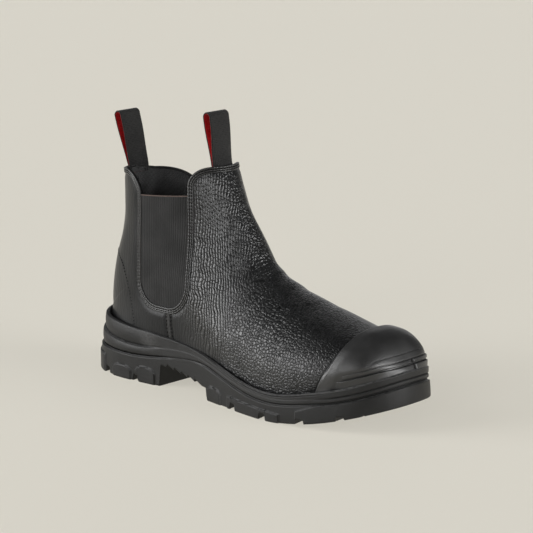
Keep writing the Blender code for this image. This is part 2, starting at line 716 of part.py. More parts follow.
def build_loop(name, parts, values, front):
    """Folded webbing: up from inside the collar, over the top and down, bent round the shaft at its foot."""
    loop = row(LOOP_COLUMNS, values)
    inward = -1.0 if front else 1.0
    low = loop["collar_z"] - LOOP_TUCK
    foot = loop["clear"] + WEB_THICK + GAP / 2
    close = (WEB_THICK + GAP) / 2
    radius = (LOOP_GAP + WEB_THICK) / 2
    up = np.linspace(0.0, 1.0, 8)
    height = low + (loop["top_z"] - radius - low) * up
    rise = np.clip((height - loop["collar_z"]) / (loop["top_z"] - radius - loop["collar_z"]), 0.0, 1.0)
    seat = wall_line(np.minimum(height, loop["collar_z"]), front) + inward * foot
    middle = seat + (loop["top_x"] - seat) * rise
    half_gap = close + (radius - close) * smooth_step(rise, 0.0, 0.9)
    over = np.linspace(math.pi, 0.0, 7)[1:-1]
    x = np.concatenate([middle - half_gap, middle[-1] + radius * np.cos(over), (middle + half_gap)[::-1]])
    z = np.concatenate([height, height[-1] + radius * np.sin(over), height[::-1]])
    bend = np.concatenate([1 - rise, np.zeros(len(over)), (1 - rise)[::-1]])
    across = np.linspace(-WEB_WIDTH / 2, WEB_WIDTH / 2, 5)
    sag = inward * across[None, :] ** 2 / (2 * LOOP_BEND) * bend[:, None]
    grid = np.stack([
        x[:, None] + sag,
        np.repeat(across[None, :], len(x), axis=0),
        np.repeat(z[:, None], len(across), axis=1)], axis=-1)
    count, wide = grid.shape[:2]
    faces = [(i * wide + j, i * wide + j + 1, (i + 1) * wide + j + 1, (i + 1) * wide + j)
             for i in range(count - 1) for j in range(wide - 1)]
    made = mesh_object(name, grid.reshape(-1, 3), faces, parts)
    web = made.modifiers.new("web", "SOLIDIFY")
    web.thickness = WEB_THICK
    web.offset = 0.0
    return made


def build_insole(parts):
    """Flat footbed on the midsole's floor, inside the upper's wall."""
    x = INSOLE_START + (INSOLE_END - INSOLE_START) * (1 - np.cos(np.linspace(0.0, math.pi, 33))) / 2
    order = np.argsort(LAST["base_x"][:BACK_SEAM_ROW])
    base = natural_spline(LAST["base_x"][:BACK_SEAM_ROW][order], LAST["base_z"][:BACK_SEAM_ROW][order], x)
    from_ends = np.minimum((x - INSOLE_START) / INSOLE_ROUND_HEEL, (INSOLE_END - x) / INSOLE_ROUND_TOE)
    ends = np.sqrt(np.clip(from_ends, 0.0, 1.0))
    rings = []
    for extra in (0.0, INSOLE_THICK):
        for side in (-1, 1):
            half = (feather_half(x, side) - INSOLE_INSET) * ends
            rings.append(np.column_stack([x, side * half, base - SEAT_DEPTH + GAP + extra]))
    count = len(x)
    points = np.concatenate(rings)
    faces = []
    for i in range(count - 1):
        low_out, low_in, top_out, top_in = (k * count + i for k in range(4))
        faces.append((low_out, low_out + 1, top_out + 1, top_out))
        faces.append((low_in + 1, low_in, top_in, top_in + 1))
        faces.append((low_out + 1, low_out, low_in, low_in + 1))
        faces.append((top_out, top_out + 1, top_in + 1, top_in))
    return mesh_object("insole", points, faces, parts)


def main():
    clear_scene()
    parts = collection("safety_boot")
    cutters = collection("cutters")
    last_clear = as_cutter(last_object("last_clear", cutters, GAP))
    made = [
        (build_outsole(parts, cutters), "outsole"),
        (build_midsole(parts, last_clear), "midsole"),
        (build_upper(parts, cutters), "upper"),
        (build_toe_cap(parts, cutters, last_clear), "toe_cap"),
        (build_loop("pull_loop_back", parts, LOOP_BACK, False), "pull_loop"),
        (build_loop("pull_loop_front", parts, LOOP_FRONT, True), "pull_loop"),
        (build_insole(parts), "insole"),
    ]
    made += [(gore, "gore") for gore in build_gores(parts, cutters)]
    for item, family in made:
        item.data.materials.clear()
        item.data.materials.append(finish(family))


main()
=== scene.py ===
"""Looks of a pull-on safety boot for the right foot: pebbled leather, elastic sides, webbing loops, moulded sole.

Metres. While a shape is worked out, x runs from the back of the heel to the toe, y to the wearer's left and z up
from the floor, as in the solids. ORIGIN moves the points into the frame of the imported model.
"""

import math

import bpy
import numpy as np
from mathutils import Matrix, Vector


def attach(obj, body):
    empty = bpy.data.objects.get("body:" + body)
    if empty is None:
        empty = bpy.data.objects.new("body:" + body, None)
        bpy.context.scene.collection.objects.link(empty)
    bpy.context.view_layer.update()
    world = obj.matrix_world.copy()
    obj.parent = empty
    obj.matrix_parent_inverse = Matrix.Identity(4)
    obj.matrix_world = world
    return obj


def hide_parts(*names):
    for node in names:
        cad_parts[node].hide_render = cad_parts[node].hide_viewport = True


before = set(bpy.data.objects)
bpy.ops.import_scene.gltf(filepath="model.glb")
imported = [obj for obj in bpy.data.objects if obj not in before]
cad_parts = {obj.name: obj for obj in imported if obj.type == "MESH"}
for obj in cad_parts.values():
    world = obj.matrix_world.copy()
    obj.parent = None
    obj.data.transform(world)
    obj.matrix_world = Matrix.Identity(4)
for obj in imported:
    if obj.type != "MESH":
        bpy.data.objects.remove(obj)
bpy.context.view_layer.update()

# Sizes that follow the solids
LENGTH = 0.312
ORIGIN = np.array([0.156, -0.0012176, 0.0])
WALL = 0.0024
TOE_SPRING = 0.019
SPRING_START = 0.215
SPRING_POWER = 1.75
BREAST_X = 0.090
BREAST_TOP = 0.0180
ARCH_END_X = 0.145
ARCH_END_TOP = 0.009
STEP_RUN = 0.0012
OUTLINE_COLUMNS = ("x", "half_out", "half_in")
OUTLINE = (
    (0.000, 0.0000, 0.0000), (0.008, 0.0240, 0.0230), (0.025, 0.0370, 0.0360), (0.055, 0.0420, 0.0410),
    (0.090, 0.0410, 0.0385), (0.125, 0.0420, 0.0365), (0.165, 0.0490, 0.0410), (0.205, 0.0560, 0.0500),
    (0.240, 0.0565, 0.0545), (0.270, 0.0500, 0.0530), (0.290, 0.0390, 0.0475), (0.303, 0.0250, 0.0350),
    (0.312, 0.0000, 0.0000),
)
SOLE_COLUMNS = ("x", "joint", "band", "rim")
SOLE_LINES = (
    (0.000, 0.0225, 0.0365, 0.0490), (0.030, 0.0215, 0.0320, 0.0460), (0.062, 0.0210, 0.0290, 0.0430),
    (0.100, 0.0250, 0.0320, 0.0405), (0.135, 0.0275, 0.0315, 0.0360), (0.165, 0.0215, 0.0250, 0.0290),
    (0.200, 0.0150, 0.0190, 0.0225), (0.228, 0.0145, 0.0185, 0.0222), (0.255, 0.0185, 0.0225, 0.0270),
    (0.289, 0.0255, 0.0300, 0.0355), (0.312, 0.0340, 0.0385, 0.0440),
)
# Raised pads of the outsole's wall: start and end, height of the top at both, how far the top is rounded off
PADS = (
    (0.0000, 0.0250, 0.0170, 0.0150, 0.0000), (0.0375, 0.0590, 0.0110, 0.0110, 0.0040),
    (0.0640, 0.0850, 0.0130, 0.0130, 0.0040), (0.1460, 0.1635, 0.0125, 0.0115, 0.0030),
    (0.1720, 0.2310, 0.0098, 0.0076, 0.0000), (0.2460, 0.3120, 0.0125, 0.0380, 0.0000),
)
PAD_HEIGHT = 0.0012
PAD_LEAST = 0.0022
PAD_BELOW_JOINT = 0.0008
# Channels across the tread: x, width, sweep
CHANNELS = (
    (0.0290, 0.0060, 0.00), (0.0645, 0.0060, 0.00), (0.1690, 0.0055, 0.20),
    (0.2030, 0.0065, 0.20), (0.2390, 0.0075, 0.20), (0.2720, 0.0060, 0.20),
)
CHANNEL_DEPTH = 0.0050
CHANNEL_SPINE = 0.0110
SECTION_COLUMNS = ("ridge_x", "ridge_z", "ridge_y", "base_x", "base_z", "half_out", "half_in",
                   "widest", "crown", "tail")
SECTIONS = (
    (0.3030, 0.0350, 0.0040, 0.3025, 0.0260, 0.0000, 0.0000, 0.60, 2.20, 2.40),  # toe tip
    (0.2990, 0.0495, 0.0040, 0.2900, 0.0232, 0.0265, 0.0335, 0.62, 2.30, 2.40),  # toe wall
    (0.2870, 0.0615, 0.0040, 0.2750, 0.0200, 0.0375, 0.0425, 0.66, 2.30, 2.40),  # toe top
    (0.2650, 0.0675, 0.0040, 0.2500, 0.0175, 0.0470, 0.0475, 0.68, 2.20, 2.40),  # cap edge
    (0.2360, 0.0760, 0.0050, 0.2140, 0.0160, 0.0500, 0.0465, 0.70, 2.10, 2.40),  # ball
    (0.2070, 0.0850, 0.0050, 0.1740, 0.0170, 0.0455, 0.0405, 0.66, 2.00, 2.30),  # vamp
    (0.1800, 0.0960, 0.0040, 0.1300, 0.0215, 0.0410, 0.0370, 0.60, 1.95, 2.20),  # instep
    (0.1660, 0.1090, 0.0030, 0.0900, 0.0265, 0.0385, 0.0360, 0.55, 1.95, 2.20),  # throat
    (0.1570, 0.1240, 0.0020, 0.0520, 0.0295, 0.0370, 0.0355, 0.52, 2.00, 2.20),  # heel
    (0.1505, 0.1350, 0.0010, 0.0230, 0.0310, 0.0362, 0.0350, 0.50, 2.00, 2.20),  # heel seat
    (0.1450, 0.1445, 0.0000, 0.0085, 0.0450, 0.0357, 0.0350, 0.50, 2.00, 2.10),  # heel back
    (0.1395, 0.1545, 0.0000, 0.0135, 0.0860, 0.0352, 0.0352, 0.50, 2.00, 2.10),  # ankle
    (0.1330, 0.1670, 0.0000, 0.0235, 0.1240, 0.0350, 0.0350, 0.50, 2.05, 2.05),  # shaft
    (0.1250, 0.1860, 0.0000, 0.0250, 0.1760, 0.0350, 0.0350, 0.50, 2.10, 2.10),  # above the collar
)
BACK_SEAM_ROW = 10
FEATHER_SIDE = 0.0055
FEATHER_HEEL = 0.0078
FEATHER_TOE = 0.0090
FEATHER_HEEL_RUN = 0.0400
FEATHER_TOE_START = 0.2550
# Back wing on either side: height of its top, x where that ends, height where its shoulder meets the window
WINGS = {-1: (0.1675, 0.0440, 0.1480), 1: (0.1615, 0.0310, 0.1450)}
BACK_SEAM_TOP = 0.1640
BACK_SEAM_X = 0.0200
FRONT_TOP = 0.1764
FRONT_SHOULDER_X = 0.1260
WINDOW_BACK = 0.0655
WINDOW_FRONT = 0.1155
WINDOW_FRONT_TOP = 0.1110
WINDOW_BOTTOM = 0.0640
WINDOW_ROUND = 0.0190
GORE_TOP_BACK = 0.1495
GORE_TOP_FRONT = 0.1535
GORE_SINK = 0.0005
GORE_THICK = 0.0016
CAP_THICK = 0.0040
CAP_EDGE_COLUMNS = ("x", "z")
CAP_EDGE = ((0.2580, 0.0278), (0.2610, 0.0350), (0.2670, 0.0480), (0.2700, 0.0600), (0.2700, 0.0900))
WEB_WIDTH = 0.0214
WEB_THICK = 0.0013
LOOP_GAP = 0.0056
LOOP_BEND = 0.0180
# A loop: the collar's height there, its top's height and x, its way in from the wall, how far it is tucked down
# inside the collar, and the least share of the tape's thickness that it has there
LOOP_BACK = (0.1640, 0.2080, 0.0170, -0.0012, 0.0050, 0.6)
LOOP_FRONT = (0.1764, 0.2170, 0.1150, 0.0024, 0.0140, 1.0)
INSOLE_THICK = 0.0035
INSOLE_INSET = 0.0056
INSOLE_START = 0.0330
INSOLE_END = 0.2880

# From here on, finer sizes that only the looks have

# Shallow cuts in the tread, by x and sweep, and the teeth of the arch
SIPES = (
    (0.0140, 0.00), (0.0470, 0.00), (0.0780, 0.00), (0.1550, 0.20), (0.1860, 0.20), (0.2210, 0.20), (0.2555, 0.20),
    (0.2880, 0.20),
)
SIPE_HALF = 0.0007
SIPE_DEPTH = 0.0012
SIPE_END = 0.036
TOOTH_START = 0.0980
TOOTH_END = 0.1370
TOOTH_PITCH = 0.0080
TOOTH_DEPTH = 0.0022

# Where the heel's steps fade out, the forefoot's lip fades in and the toe begins. How soft the outsole's edges are.
# Way in and drop of the rings of the midsole's ledge, inside its rim
HEEL_FADE = (0.064, 0.098)
FORE_FADE = (0.130, 0.185)
TOE_FADE = (0.255, 0.280)
SOLE_EDGE = 0.0014
LEDGE_WAY = (0.0006, 0.0012, 0.0020, 0.0032, 0.0060, 0.0110)
LEDGE_DROP = (-0.0002, 0.0002, 0.0010, 0.0022, 0.0030)

# Rounded edge of the tape, half sizes of the elastic's trim, and the stitches
WEB_EDGE = 0.0006
TRIM_RADII = (0.0008, 0.0005)
STITCH_SINK = 0.00035
STITCH_PITCH = 0.0026
STITCH_LENGTH = 0.0018
STITCH_RADIUS = 0.00048

# How finely the meshes are divided, and how close two points count as one
ROUND_STATIONS = 601
LAST_STEPS = 100
SKIN_SHAPE = (330, 190)
LINING_SHAPE = (190, 110)
GORE_SHAPE = (90, 120)
CAP_SHAPE = (120, 361)
INSOLE_SHAPE = (150, 64)
COLLAR_POINTS = 60
ARC_POINTS = 30
SEAM_SPACING = 0.0006
HALVINGS = 36
TOE_HALVINGS = 24
NEAR = 0.00002
VERY_NEAR = 0.000002

# Profile of the sewn edge round the elastic and along the collar, from the lining over the edge to the leather:
# way in from the edge, height over the leather
SEWN_EDGE = (
    (0.0014, -0.0027), (0.0005, -0.0026), (-0.0001, -0.0020), (-0.0004, -0.0013), (-0.0004, -0.0006),
    (-0.0001, 0.0001), (0.0003, 0.0004), (0.0007, 0.0004), (0.0010, 0.0002), (0.0013, -0.0001),
    (0.0015, -0.0003), (0.0017, -0.0001), (0.0020, 0.0002), (0.0024, 0.0004), (0.0027, 0.0002),
    (0.0030, -0.0001), (0.0032, -0.0003), (0.0034, -0.0001), (0.0037, 0.0001), (0.0041, 0.0000),
    (0.0045, -0.0004), (0.0050, -0.0016),
)
# Ways in from the line at which rows of stitches lie
SEWN_EDGE_ROWS = (0.0015, 0.0032)
# Profile of the side seam, across its line
SIDE_SEAM = (
    (-0.0038, -0.0016), (-0.0033, -0.0005), (-0.0029, -0.0003), (-0.0024, -0.0005), (-0.0020, -0.0003),
    (-0.0014, 0.0000), (-0.0007, 0.0001), (0.0000, 0.0001), (0.0007, 0.0001), (0.0014, 0.0000),
    (0.0020, -0.0003), (0.0024, -0.0005), (0.0029, -0.0003), (0.0033, -0.0005), (0.0038, -0.0016),
)
SIDE_SEAM_ROWS = (-0.0024, 0.0024)
# Lines of the side seam and of the heel counter, by x and z
SIDE_SEAM_PATH = ((0.0975, 0.0600), (0.0985, 0.0500), (0.0998, 0.0400), (0.1005, 0.0300))
COUNTER_PATH = (
    (0.0140, 0.0990), (0.0240, 0.0985), (0.0330, 0.0955), (0.0400, 0.0905), (0.0445, 0.0840), (0.0487, 0.0760),
    (0.0547, 0.0593), (0.0585, 0.0455), (0.0600, 0.0340),
)

# Soft creases of the leather: two ends seen from the side, half width, depth (a ridge has a negative one)
CREASES = (
    (0.1690, 0.1050, 0.1420, 0.0900, 0.0060, 0.0006),
    (0.1730, 0.1010, 0.1500, 0.0800, 0.0060, -0.0004),
    (0.1790, 0.0960, 0.1600, 0.0740, 0.0060, 0.0005),
    (0.1900, 0.0910, 0.1760, 0.0700, 0.0060, -0.0004),
    (0.1980, 0.0880, 0.1880, 0.0680, 0.0055, 0.0005),
    (0.2230, 0.0790, 0.2180, 0.0600, 0.0060, 0.0004),
    (0.1280, 0.1250, 0.1340, 0.0850, 0.0080, 0.0007),
    (0.1450, 0.1180, 0.1480, 0.0900, 0.0080, -0.0005),
    (0.1200, 0.0700, 0.1320, 0.0450, 0.0070, 0.0005),
    (0.0480, 0.1250, 0.0420, 0.0800, 0.0080, 0.0005),
    (0.0330, 0.1350, 0.0300, 0.1050, 0.0070, 0.0005),
    (0.1490, 0.0600, 0.1560, 0.0400, 0.0080, -0.0005),
)


def table(columns, rows):
    """A table's columns as arrays by name."""
    values = np.array(rows, dtype=float)
    return {name: values[:, i] for i, name in enumerate(columns)}


def natural_spline(knots, values, at):
    """Cubic spline through the knots with no bend at its ends. The last axis of values runs along the knots."""
    knots = np.asarray(knots, dtype=float)
    values = np.asarray(values, dtype=float)
    at = np.asarray(at, dtype=float)
    span = np.diff(knots)
    size = len(knots)
    inner = np.arange(1, size - 1)
    system = np.eye(size)
    system[inner, inner - 1] = span[:-1]
    system[inner, inner] = 2 * (span[:-1] + span[1:])
    system[inner, inner + 1] = span[1:]
    slope = np.diff(values) / span
    right = np.zeros(values.shape)
    right[..., inner] = 6 * np.diff(slope)
    bend = np.linalg.solve(system, right.T).T
    i = np.clip(np.searchsorted(knots, at) - 1, 0, size - 2)
    after = at - knots[i]
    before = knots[i + 1] - at
    cubic = (bend[..., i] * before**3 + bend[..., i + 1] * after**3) / (6 * span[i])
    low = (values[..., i] / span[i] - bend[..., i] * span[i] / 6) * before
    high = (values[..., i + 1] / span[i] - bend[..., i + 1] * span[i] / 6) * after
    return cubic + low + high


def smooth_step(value, start, end):
    """0 before start, 1 after end, with a soft rise (3 s squared less 2 s cubed) between them."""
    share = np.clip((np.asarray(value, dtype=float) - start) / (end - start), 0.0, 1.0)
    return share * share * (3 - 2 * share)


def between(value, rise, fall):
    """1 between a soft rise and a soft fall, each given by where it starts and ends, and 0 outside them."""
    return smooth_step(value, *rise) * (1 - smooth_step(value, *fall))


def unit(vectors):
    """Vectors at length 1."""
    length = np.linalg.norm(vectors, axis=-1, keepdims=True)
    return vectors / np.maximum(length, 1e-12)


# The sole's lines

PLAN = table(OUTLINE_COLUMNS, OUTLINE)
SOLE = table(SOLE_COLUMNS, SOLE_LINES)
LAST = table(SECTION_COLUMNS, SECTIONS)


def turn_of(x):
    """Angle along the boot: 0 at the heel's back, pi at the toe, so that widths grow round at both ends."""
    return np.arccos(np.clip(1 - 2 * np.asarray(x, dtype=float) / LENGTH, -1.0, 1.0))


def half_width(x, side):
    """Half width of the sole's plan at x, on the outer (-1) or the inner (1) side: a spline in the angle."""
    column = "half_out" if side < 0 else "half_in"
    return np.maximum(natural_spline(turn_of(PLAN["x"]), PLAN[column], turn_of(x)), 0.0)


def sole_height(line, x):
    """Height of one of the sole's lines at x."""
    return natural_spline(SOLE["x"], SOLE[line], np.clip(x, 0.0, LENGTH))


def ground(x):
    """Underside of the sole: heel on the floor, arch, forefoot on the floor, toe spring as a power of the way."""
    x = np.asarray(x, dtype=float)
    rise = np.clip((x - SPRING_START) / (LENGTH - SPRING_START), 0.0, None)
    share = (x - BREAST_X) / (ARCH_END_X - BREAST_X)
    arch = BREAST_TOP + (ARCH_END_TOP - BREAST_TOP) * smooth_step(share, -0.2, 1.1)
    over = np.clip((x - BREAST_X) / STEP_RUN, 0.0, 1.0) * np.clip((ARCH_END_X - x) / STEP_RUN, 0.0, 1.0)
    return TOE_SPRING * rise**SPRING_POWER + arch * over


def plan_normals(x, side):
    """Outward normal of the plan's outline at x: across the step from just behind to just ahead in the angle."""
    t = turn_of(x)
    step = 0.002
    x_ahead = LENGTH / 2 * (1 - np.cos(np.clip(t + step, 0.0, math.pi)))
    x_behind = LENGTH / 2 * (1 - np.cos(np.clip(t - step, 0.0, math.pi)))
    dx = x_ahead - x_behind
    dy = side * (half_width(x_ahead, side) - half_width(x_behind, side))
    length = np.maximum(np.hypot(dx, dy), 1e-12)
    ends = (t < step) | (t > math.pi - step)
    nx = np.where(ends, np.where(x < LENGTH / 2, -1.0, 1.0), -side * dy / length)
    ny = np.where(ends, 0.0, side * dx / length)
    return nx, ny


def plan_points(x, side, inset):
    """Points of the plan's outline at x, moved in along the normal."""
    nx, ny = plan_normals(x, side)
    return np.column_stack([x - nx * inset, side * half_width(x, side) - ny * inset])


STATIONS = LENGTH / 2 * (1 - np.cos(np.linspace(0.0, math.pi, ROUND_STATIONS)))
NORMALS = {side: plan_normals(STATIONS, side) for side in (-1, 1)}
HALVES = {side: half_width(STATIONS, side) for side in (-1, 1)}


def round_the_sole(outer, inner):
    """Values along the outer side from heel to toe and back along the inner side, as one closed loop."""
    return np.concatenate([outer, inner[..., -2:0:-1]], axis=-1)


LOOP_X = round_the_sole(STATIONS, STATIONS)
LOOP_SIDE = round_the_sole(np.full(ROUND_STATIONS, -1.0), np.full(ROUND_STATIONS, 1.0))
LOOP_HALF = round_the_sole(HALVES[-1], HALVES[1])
LOOP_NX = round_the_sole(NORMALS[-1][0], NORMALS[1][0])
LOOP_NY = round_the_sole(NORMALS[-1][1], NORMALS[1][1])


def loop_rings(inset, height):
    """Rings round the sole, a row for each level: the plan's outline moved in by inset, at a height."""
    x = LOOP_X - LOOP_NX * inset
    y = LOOP_SIDE * LOOP_HALF - LOOP_NY * inset
    return np.stack([x, y, np.broadcast_to(height, x.shape)], axis=-1)


# The last, which the upper follows

LAST_ROWS = np.linspace(0.0, len(SECTIONS) - 1, (len(SECTIONS) - 1) * LAST_STEPS + 1)
BACK_SEAM = slice(BACK_SEAM_ROW * LAST_STEPS, None)
THROAT = slice(8 * LAST_STEPS, None)


def feather_half(x, side):
    """Half width of the feather line, where the upper meets the sole: the plan moved in, more at heel and toe."""
    along = LENGTH / 2 * (1 - np.cos(np.linspace(0.0, math.pi, 241)))
    heel = (FEATHER_HEEL - FEATHER_SIDE) * np.clip(1 - along / FEATHER_HEEL_RUN, 0.0, 1.0) ** 2
    ahead = np.clip((along - FEATHER_TOE_START) / (LENGTH - FEATHER_TOE_START), 0.0, 1.0)
    toe = (FEATHER_TOE - FEATHER_SIDE) * ahead**1.5
    curve = plan_points(along, side, FEATHER_SIDE + heel + toe)
    return np.interp(x, curve[:, 0], np.abs(curve[:, 1]), left=0.0, right=0.0)


def last_columns(rows):
    """The sections' values between the table's rows. Rows mirrored ahead of the tip keep the toe round."""
    ahead = 2
    knots = np.arange(-ahead, len(SECTIONS))
    columns = {}
    for name, values in LAST.items():
        sign = -1.0 if name in ("half_out", "half_in") else 1.0
        columns[name] = natural_spline(knots, np.concatenate([sign * values[ahead:0:-1], values]), rows)
    columns["foot_out"] = feather_half(columns["base_x"], -1)
    columns["foot_in"] = feather_half(columns["base_x"], 1)
    return columns


SKIN = last_columns(LAST_ROWS)


def section(name, row):
    """A column of the sections at any row."""
    return np.interp(row, LAST_ROWS, SKIN[name])


def section_shape(row, inner):
    """Half width, stop angle and reach of the lower curve of a section on one side."""
    half = np.maximum(np.where(inner, section("half_in", row), section("half_out", row)), 1e-6)
    foot = np.where(inner, section("foot_in", row), section("foot_out", row))
    end = np.where(row > BACK_SEAM_ROW - 1e-6, 0.0, np.clip(foot / half, 0.0, 0.985))
    tail = section("tail", row)
    stop = np.arccos(end ** (tail / 2))
    reach = (1 - section("widest", row)) / np.maximum(np.sin(stop), 1e-6) ** (2 / tail)
    return half, stop, reach


def skin(row, turn):
    """Point of the last at a row of the fan, at a turn from the outer base (-1) over the ridge (0) to the inner (1).

    Down to its widest point a section is a superellipse from the ridge, and from there one to its base.
    """
    row, turn = np.broadcast_arrays(np.asarray(row, dtype=float), np.asarray(turn, dtype=float))
    side = np.where(turn > 0, 1.0, -1.0)
    half, stop, reach = section_shape(row, turn > 0)
    share = np.abs(turn)
    crown = section("crown", row)
    tail = section("tail", row)
    widest = section("widest", row)
    ridge_y = section("ridge_y", row)
    front = np.clip(share * 2, 0.0, 1.0) * math.pi / 2
    back = np.clip(share * 2 - 1, 0.0, 1.0) * stop
    on_front = share <= 0.5
    down_front = widest * (1 - np.cos(front) ** (2 / crown))
    down_back = widest + reach * np.sin(back) ** (2 / tail)
    down = np.where(on_front, down_front, down_back)
    out_front = ridge_y + (side * half - ridge_y) * np.sin(front) ** (2 / crown)
    out_back = side * half * np.clip(np.cos(back), 0.0, 1.0) ** (2 / tail)
    y = np.where(row < 1e-6, ridge_y, np.where(on_front, out_front, out_back))
    ridge_x = section("ridge_x", row)
    ridge_z = section("ridge_z", row)
    x = ridge_x + (section("base_x", row) - ridge_x) * down
    z = ridge_z + (section("base_z", row) - ridge_z) * down
    return np.stack([x, y, z], axis=-1)


def skin_normal(row, turn):
    """Outward normal of the last: across the two small steps along the rows and along the turn."""
    row_step, turn_step = 0.01, 0.004
    along = skin(row + row_step, turn) - skin(row - row_step, turn)
    across = skin(row, turn + turn_step) - skin(row, turn - turn_step)
    return unit(np.cross(across, along))


def skin_find(x, z, side):
    """Row and turn of the last's point that is at x and z on one side.

    The row is found by halving, on which side of the section's line from ridge to base the point lies. The turn
    comes from the share of the way down that line, through the superellipse turned round.
    """
    x, z, side = np.broadcast_arrays(np.asarray(x, dtype=float), np.asarray(z, dtype=float), side)
    low = np.zeros(x.shape)
    high = np.full(x.shape, len(SECTIONS) - 1.0)
    for _ in range(HALVINGS):
        row = (low + high) / 2
        dx = section("base_x", row) - section("ridge_x", row)
        dz = section("base_z", row) - section("ridge_z", row)
        ahead = dx * (z - section("ridge_z", row)) - dz * (x - section("ridge_x", row)) < 0
        low = np.where(ahead, row, low)
        high = np.where(ahead, high, row)
    down = ((x - section("ridge_x", row)) * dx + (z - section("ridge_z", row)) * dz) / (dx * dx + dz * dz)
    down = np.clip(down, 0.0, 1.0)
    widest = section("widest", row)
    _, stop, reach = section_shape(row, side > 0)
    front = np.arccos(np.clip(1 - down / widest, 0.0, 1.0) ** (section("crown", row) / 2))
    back = np.arcsin(np.clip((down - widest) / reach, 0.0, 1.0) ** (section("tail", row) / 2))
    share = np.where(down <= widest, front / math.pi, 0.5 + 0.5 * back / np.maximum(stop, 1e-6))
    return row, side * np.clip(share, 0.0, 1.0)


# Outline of the collar and the elastic window, seen from the side


def arc(centre, radii, start, end, count):
    """Points of an ellipse's arc in x and z, between two angles."""
    angle = np.linspace(start, end, count)
    return np.column_stack([centre[0] + radii[0] * np.cos(angle), centre[1] + radii[1] * np.sin(angle)])


def collar_line(side):
    """The leather's edge from the back seam over the back wing, round the window and over the front wing.

    Straight runs and quarter ellipses. Near the two ends the points lie closer, by the square of the way, because
    there the collar turns away from the side.
    """
    top, flat_end, low = WINGS[side]
    slope = (top - BACK_SEAM_TOP) / (flat_end - BACK_SEAM_X)
    seam = np.interp(BACK_SEAM_TOP, SKIN["base_z"][BACK_SEAM], SKIN["base_x"][BACK_SEAM])
    near = np.linspace(0.0, 1.0, COLLAR_POINTS) ** 2
    back_x = seam + (flat_end - seam) * near
    back = np.column_stack([back_x, BACK_SEAM_TOP + slope * (back_x - BACK_SEAM_X)])
    shoulder = arc((flat_end, low), (WINDOW_BACK - flat_end, top - low), math.pi / 2, 0.0, ARC_POINTS)
    foot_z = WINDOW_BOTTOM + WINDOW_ROUND
    foot_back = arc((WINDOW_BACK + WINDOW_ROUND, foot_z), (WINDOW_ROUND,) * 2, math.pi, math.pi * 1.5, ARC_POINTS)
    foot_front = arc((WINDOW_FRONT - WINDOW_ROUND, foot_z), (WINDOW_ROUND,) * 2, -math.pi / 2, 0.0, ARC_POINTS)
    run = FRONT_SHOULDER_X - WINDOW_FRONT_TOP
    front = arc((FRONT_SHOULDER_X, FRONT_TOP - run), (run, run), math.pi, math.pi / 2, ARC_POINTS)
    ridge = np.interp(FRONT_TOP, SKIN["ridge_z"][THROAT], SKIN["ridge_x"][THROAT])
    last = np.column_stack([ridge - (ridge - FRONT_SHOULDER_X) * near[::-1], np.full(COLLAR_POINTS, FRONT_TOP)])
    return np.concatenate([back, shoulder, foot_back, foot_front, front, last[1:]])


def cut_outline(side):
    """Closed outline of what is open above the collar and at the window."""
    line = collar_line(side)
    box = [(0.4, line[-1, 1]), (0.4, 0.3), (-0.1, 0.3), (-0.1, BACK_SEAM_TOP)]
    return np.concatenate([line[::3], line[-1:], box])


def edge_distance(x, z, outline):
    """Signed distance to a closed outline: least distance to its edges, positive outside (even-odd rule)."""
    a = outline
    b = np.roll(outline, -1, axis=0)
    run = b - a
    length = np.maximum((run * run).sum(1), 1e-15)
    result = np.empty(len(x))
    for part in np.array_split(np.arange(len(x)), max(1, len(x) // 12000)):
        px = x[part][:, None] - a[:, 0]
        pz = z[part][:, None] - a[:, 1]
        share = np.clip((px * run[:, 0] + pz * run[:, 1]) / length, 0.0, 1.0)
        away = np.hypot(px - share * run[:, 0], pz - share * run[:, 1]).min(1)
        over = (a[:, 1] > z[part][:, None]) != (b[:, 1] > z[part][:, None])
        cross = px < run[:, 0] * pz / np.where(run[:, 1] == 0, 1e-15, run[:, 1])
        result[part] = np.where((over & cross).sum(1) % 2 == 1, -away, away)
    return result


# Meshes


def grid_faces(rows, columns, wrap=False):
    """Quads of a grid of points, row after row. wrap joins the last column to the first."""
    i = np.arange(rows - 1)[:, None] * columns
    j = np.arange(columns if wrap else columns - 1)[None, :]
    k = (j + 1) % columns
    return np.stack([i + j, i + k, i + columns + k, i + columns + j], axis=-1).reshape(-1, 4)


def split_quads(quads):
    """Two triangles for each quad."""
    return np.concatenate([quads[:, [0, 1, 2]], quads[:, [0, 2, 3]]])


def clip_triangles(points, triangles, keep):
    """Keeps the part of a triangle mesh where keep is above zero.

    A triangle that is crossed is cut where keep, taken as straight along its edges, is zero. Points may have more
    columns than three: all are carried along.
    """
    inside = keep[triangles] > 0
    count = inside.sum(1)
    whole = triangles[count == 3]
    pieces = [whole]
    cuts = []
    made = len(points)
    for number in (1, 2):
        some = triangles[count == number]
        odd = (inside[count == number] == (number == 1)).argmax(1)
        order = (odd[:, None] + np.arange(3)) % 3
        some = np.take_along_axis(some, order, axis=1)
        edges = np.concatenate([some[:, [0, 1]], some[:, [0, 2]]])
        share = keep[edges[:, 0]] / (keep[edges[:, 0]] - keep[edges[:, 1]])
        cuts.append(points[edges[:, 0]] + (points[edges[:, 1]] - points[edges[:, 0]]) * share[:, None])
        first = made + np.arange(len(some))
        second = first + len(some)
        made += 2 * len(some)
        if number == 1:
            pieces.append(np.column_stack([some[:, 0], first, second]))
        else:
            pieces.append(np.column_stack([first, some[:, 1], some[:, 2]]))
            pieces.append(np.column_stack([first, some[:, 2], second]))
    points = np.concatenate([points] + cuts)
    faces = np.concatenate(pieces)
    used, faces = np.unique(faces, return_inverse=True)
    return points[used], faces.reshape(-1, 3)


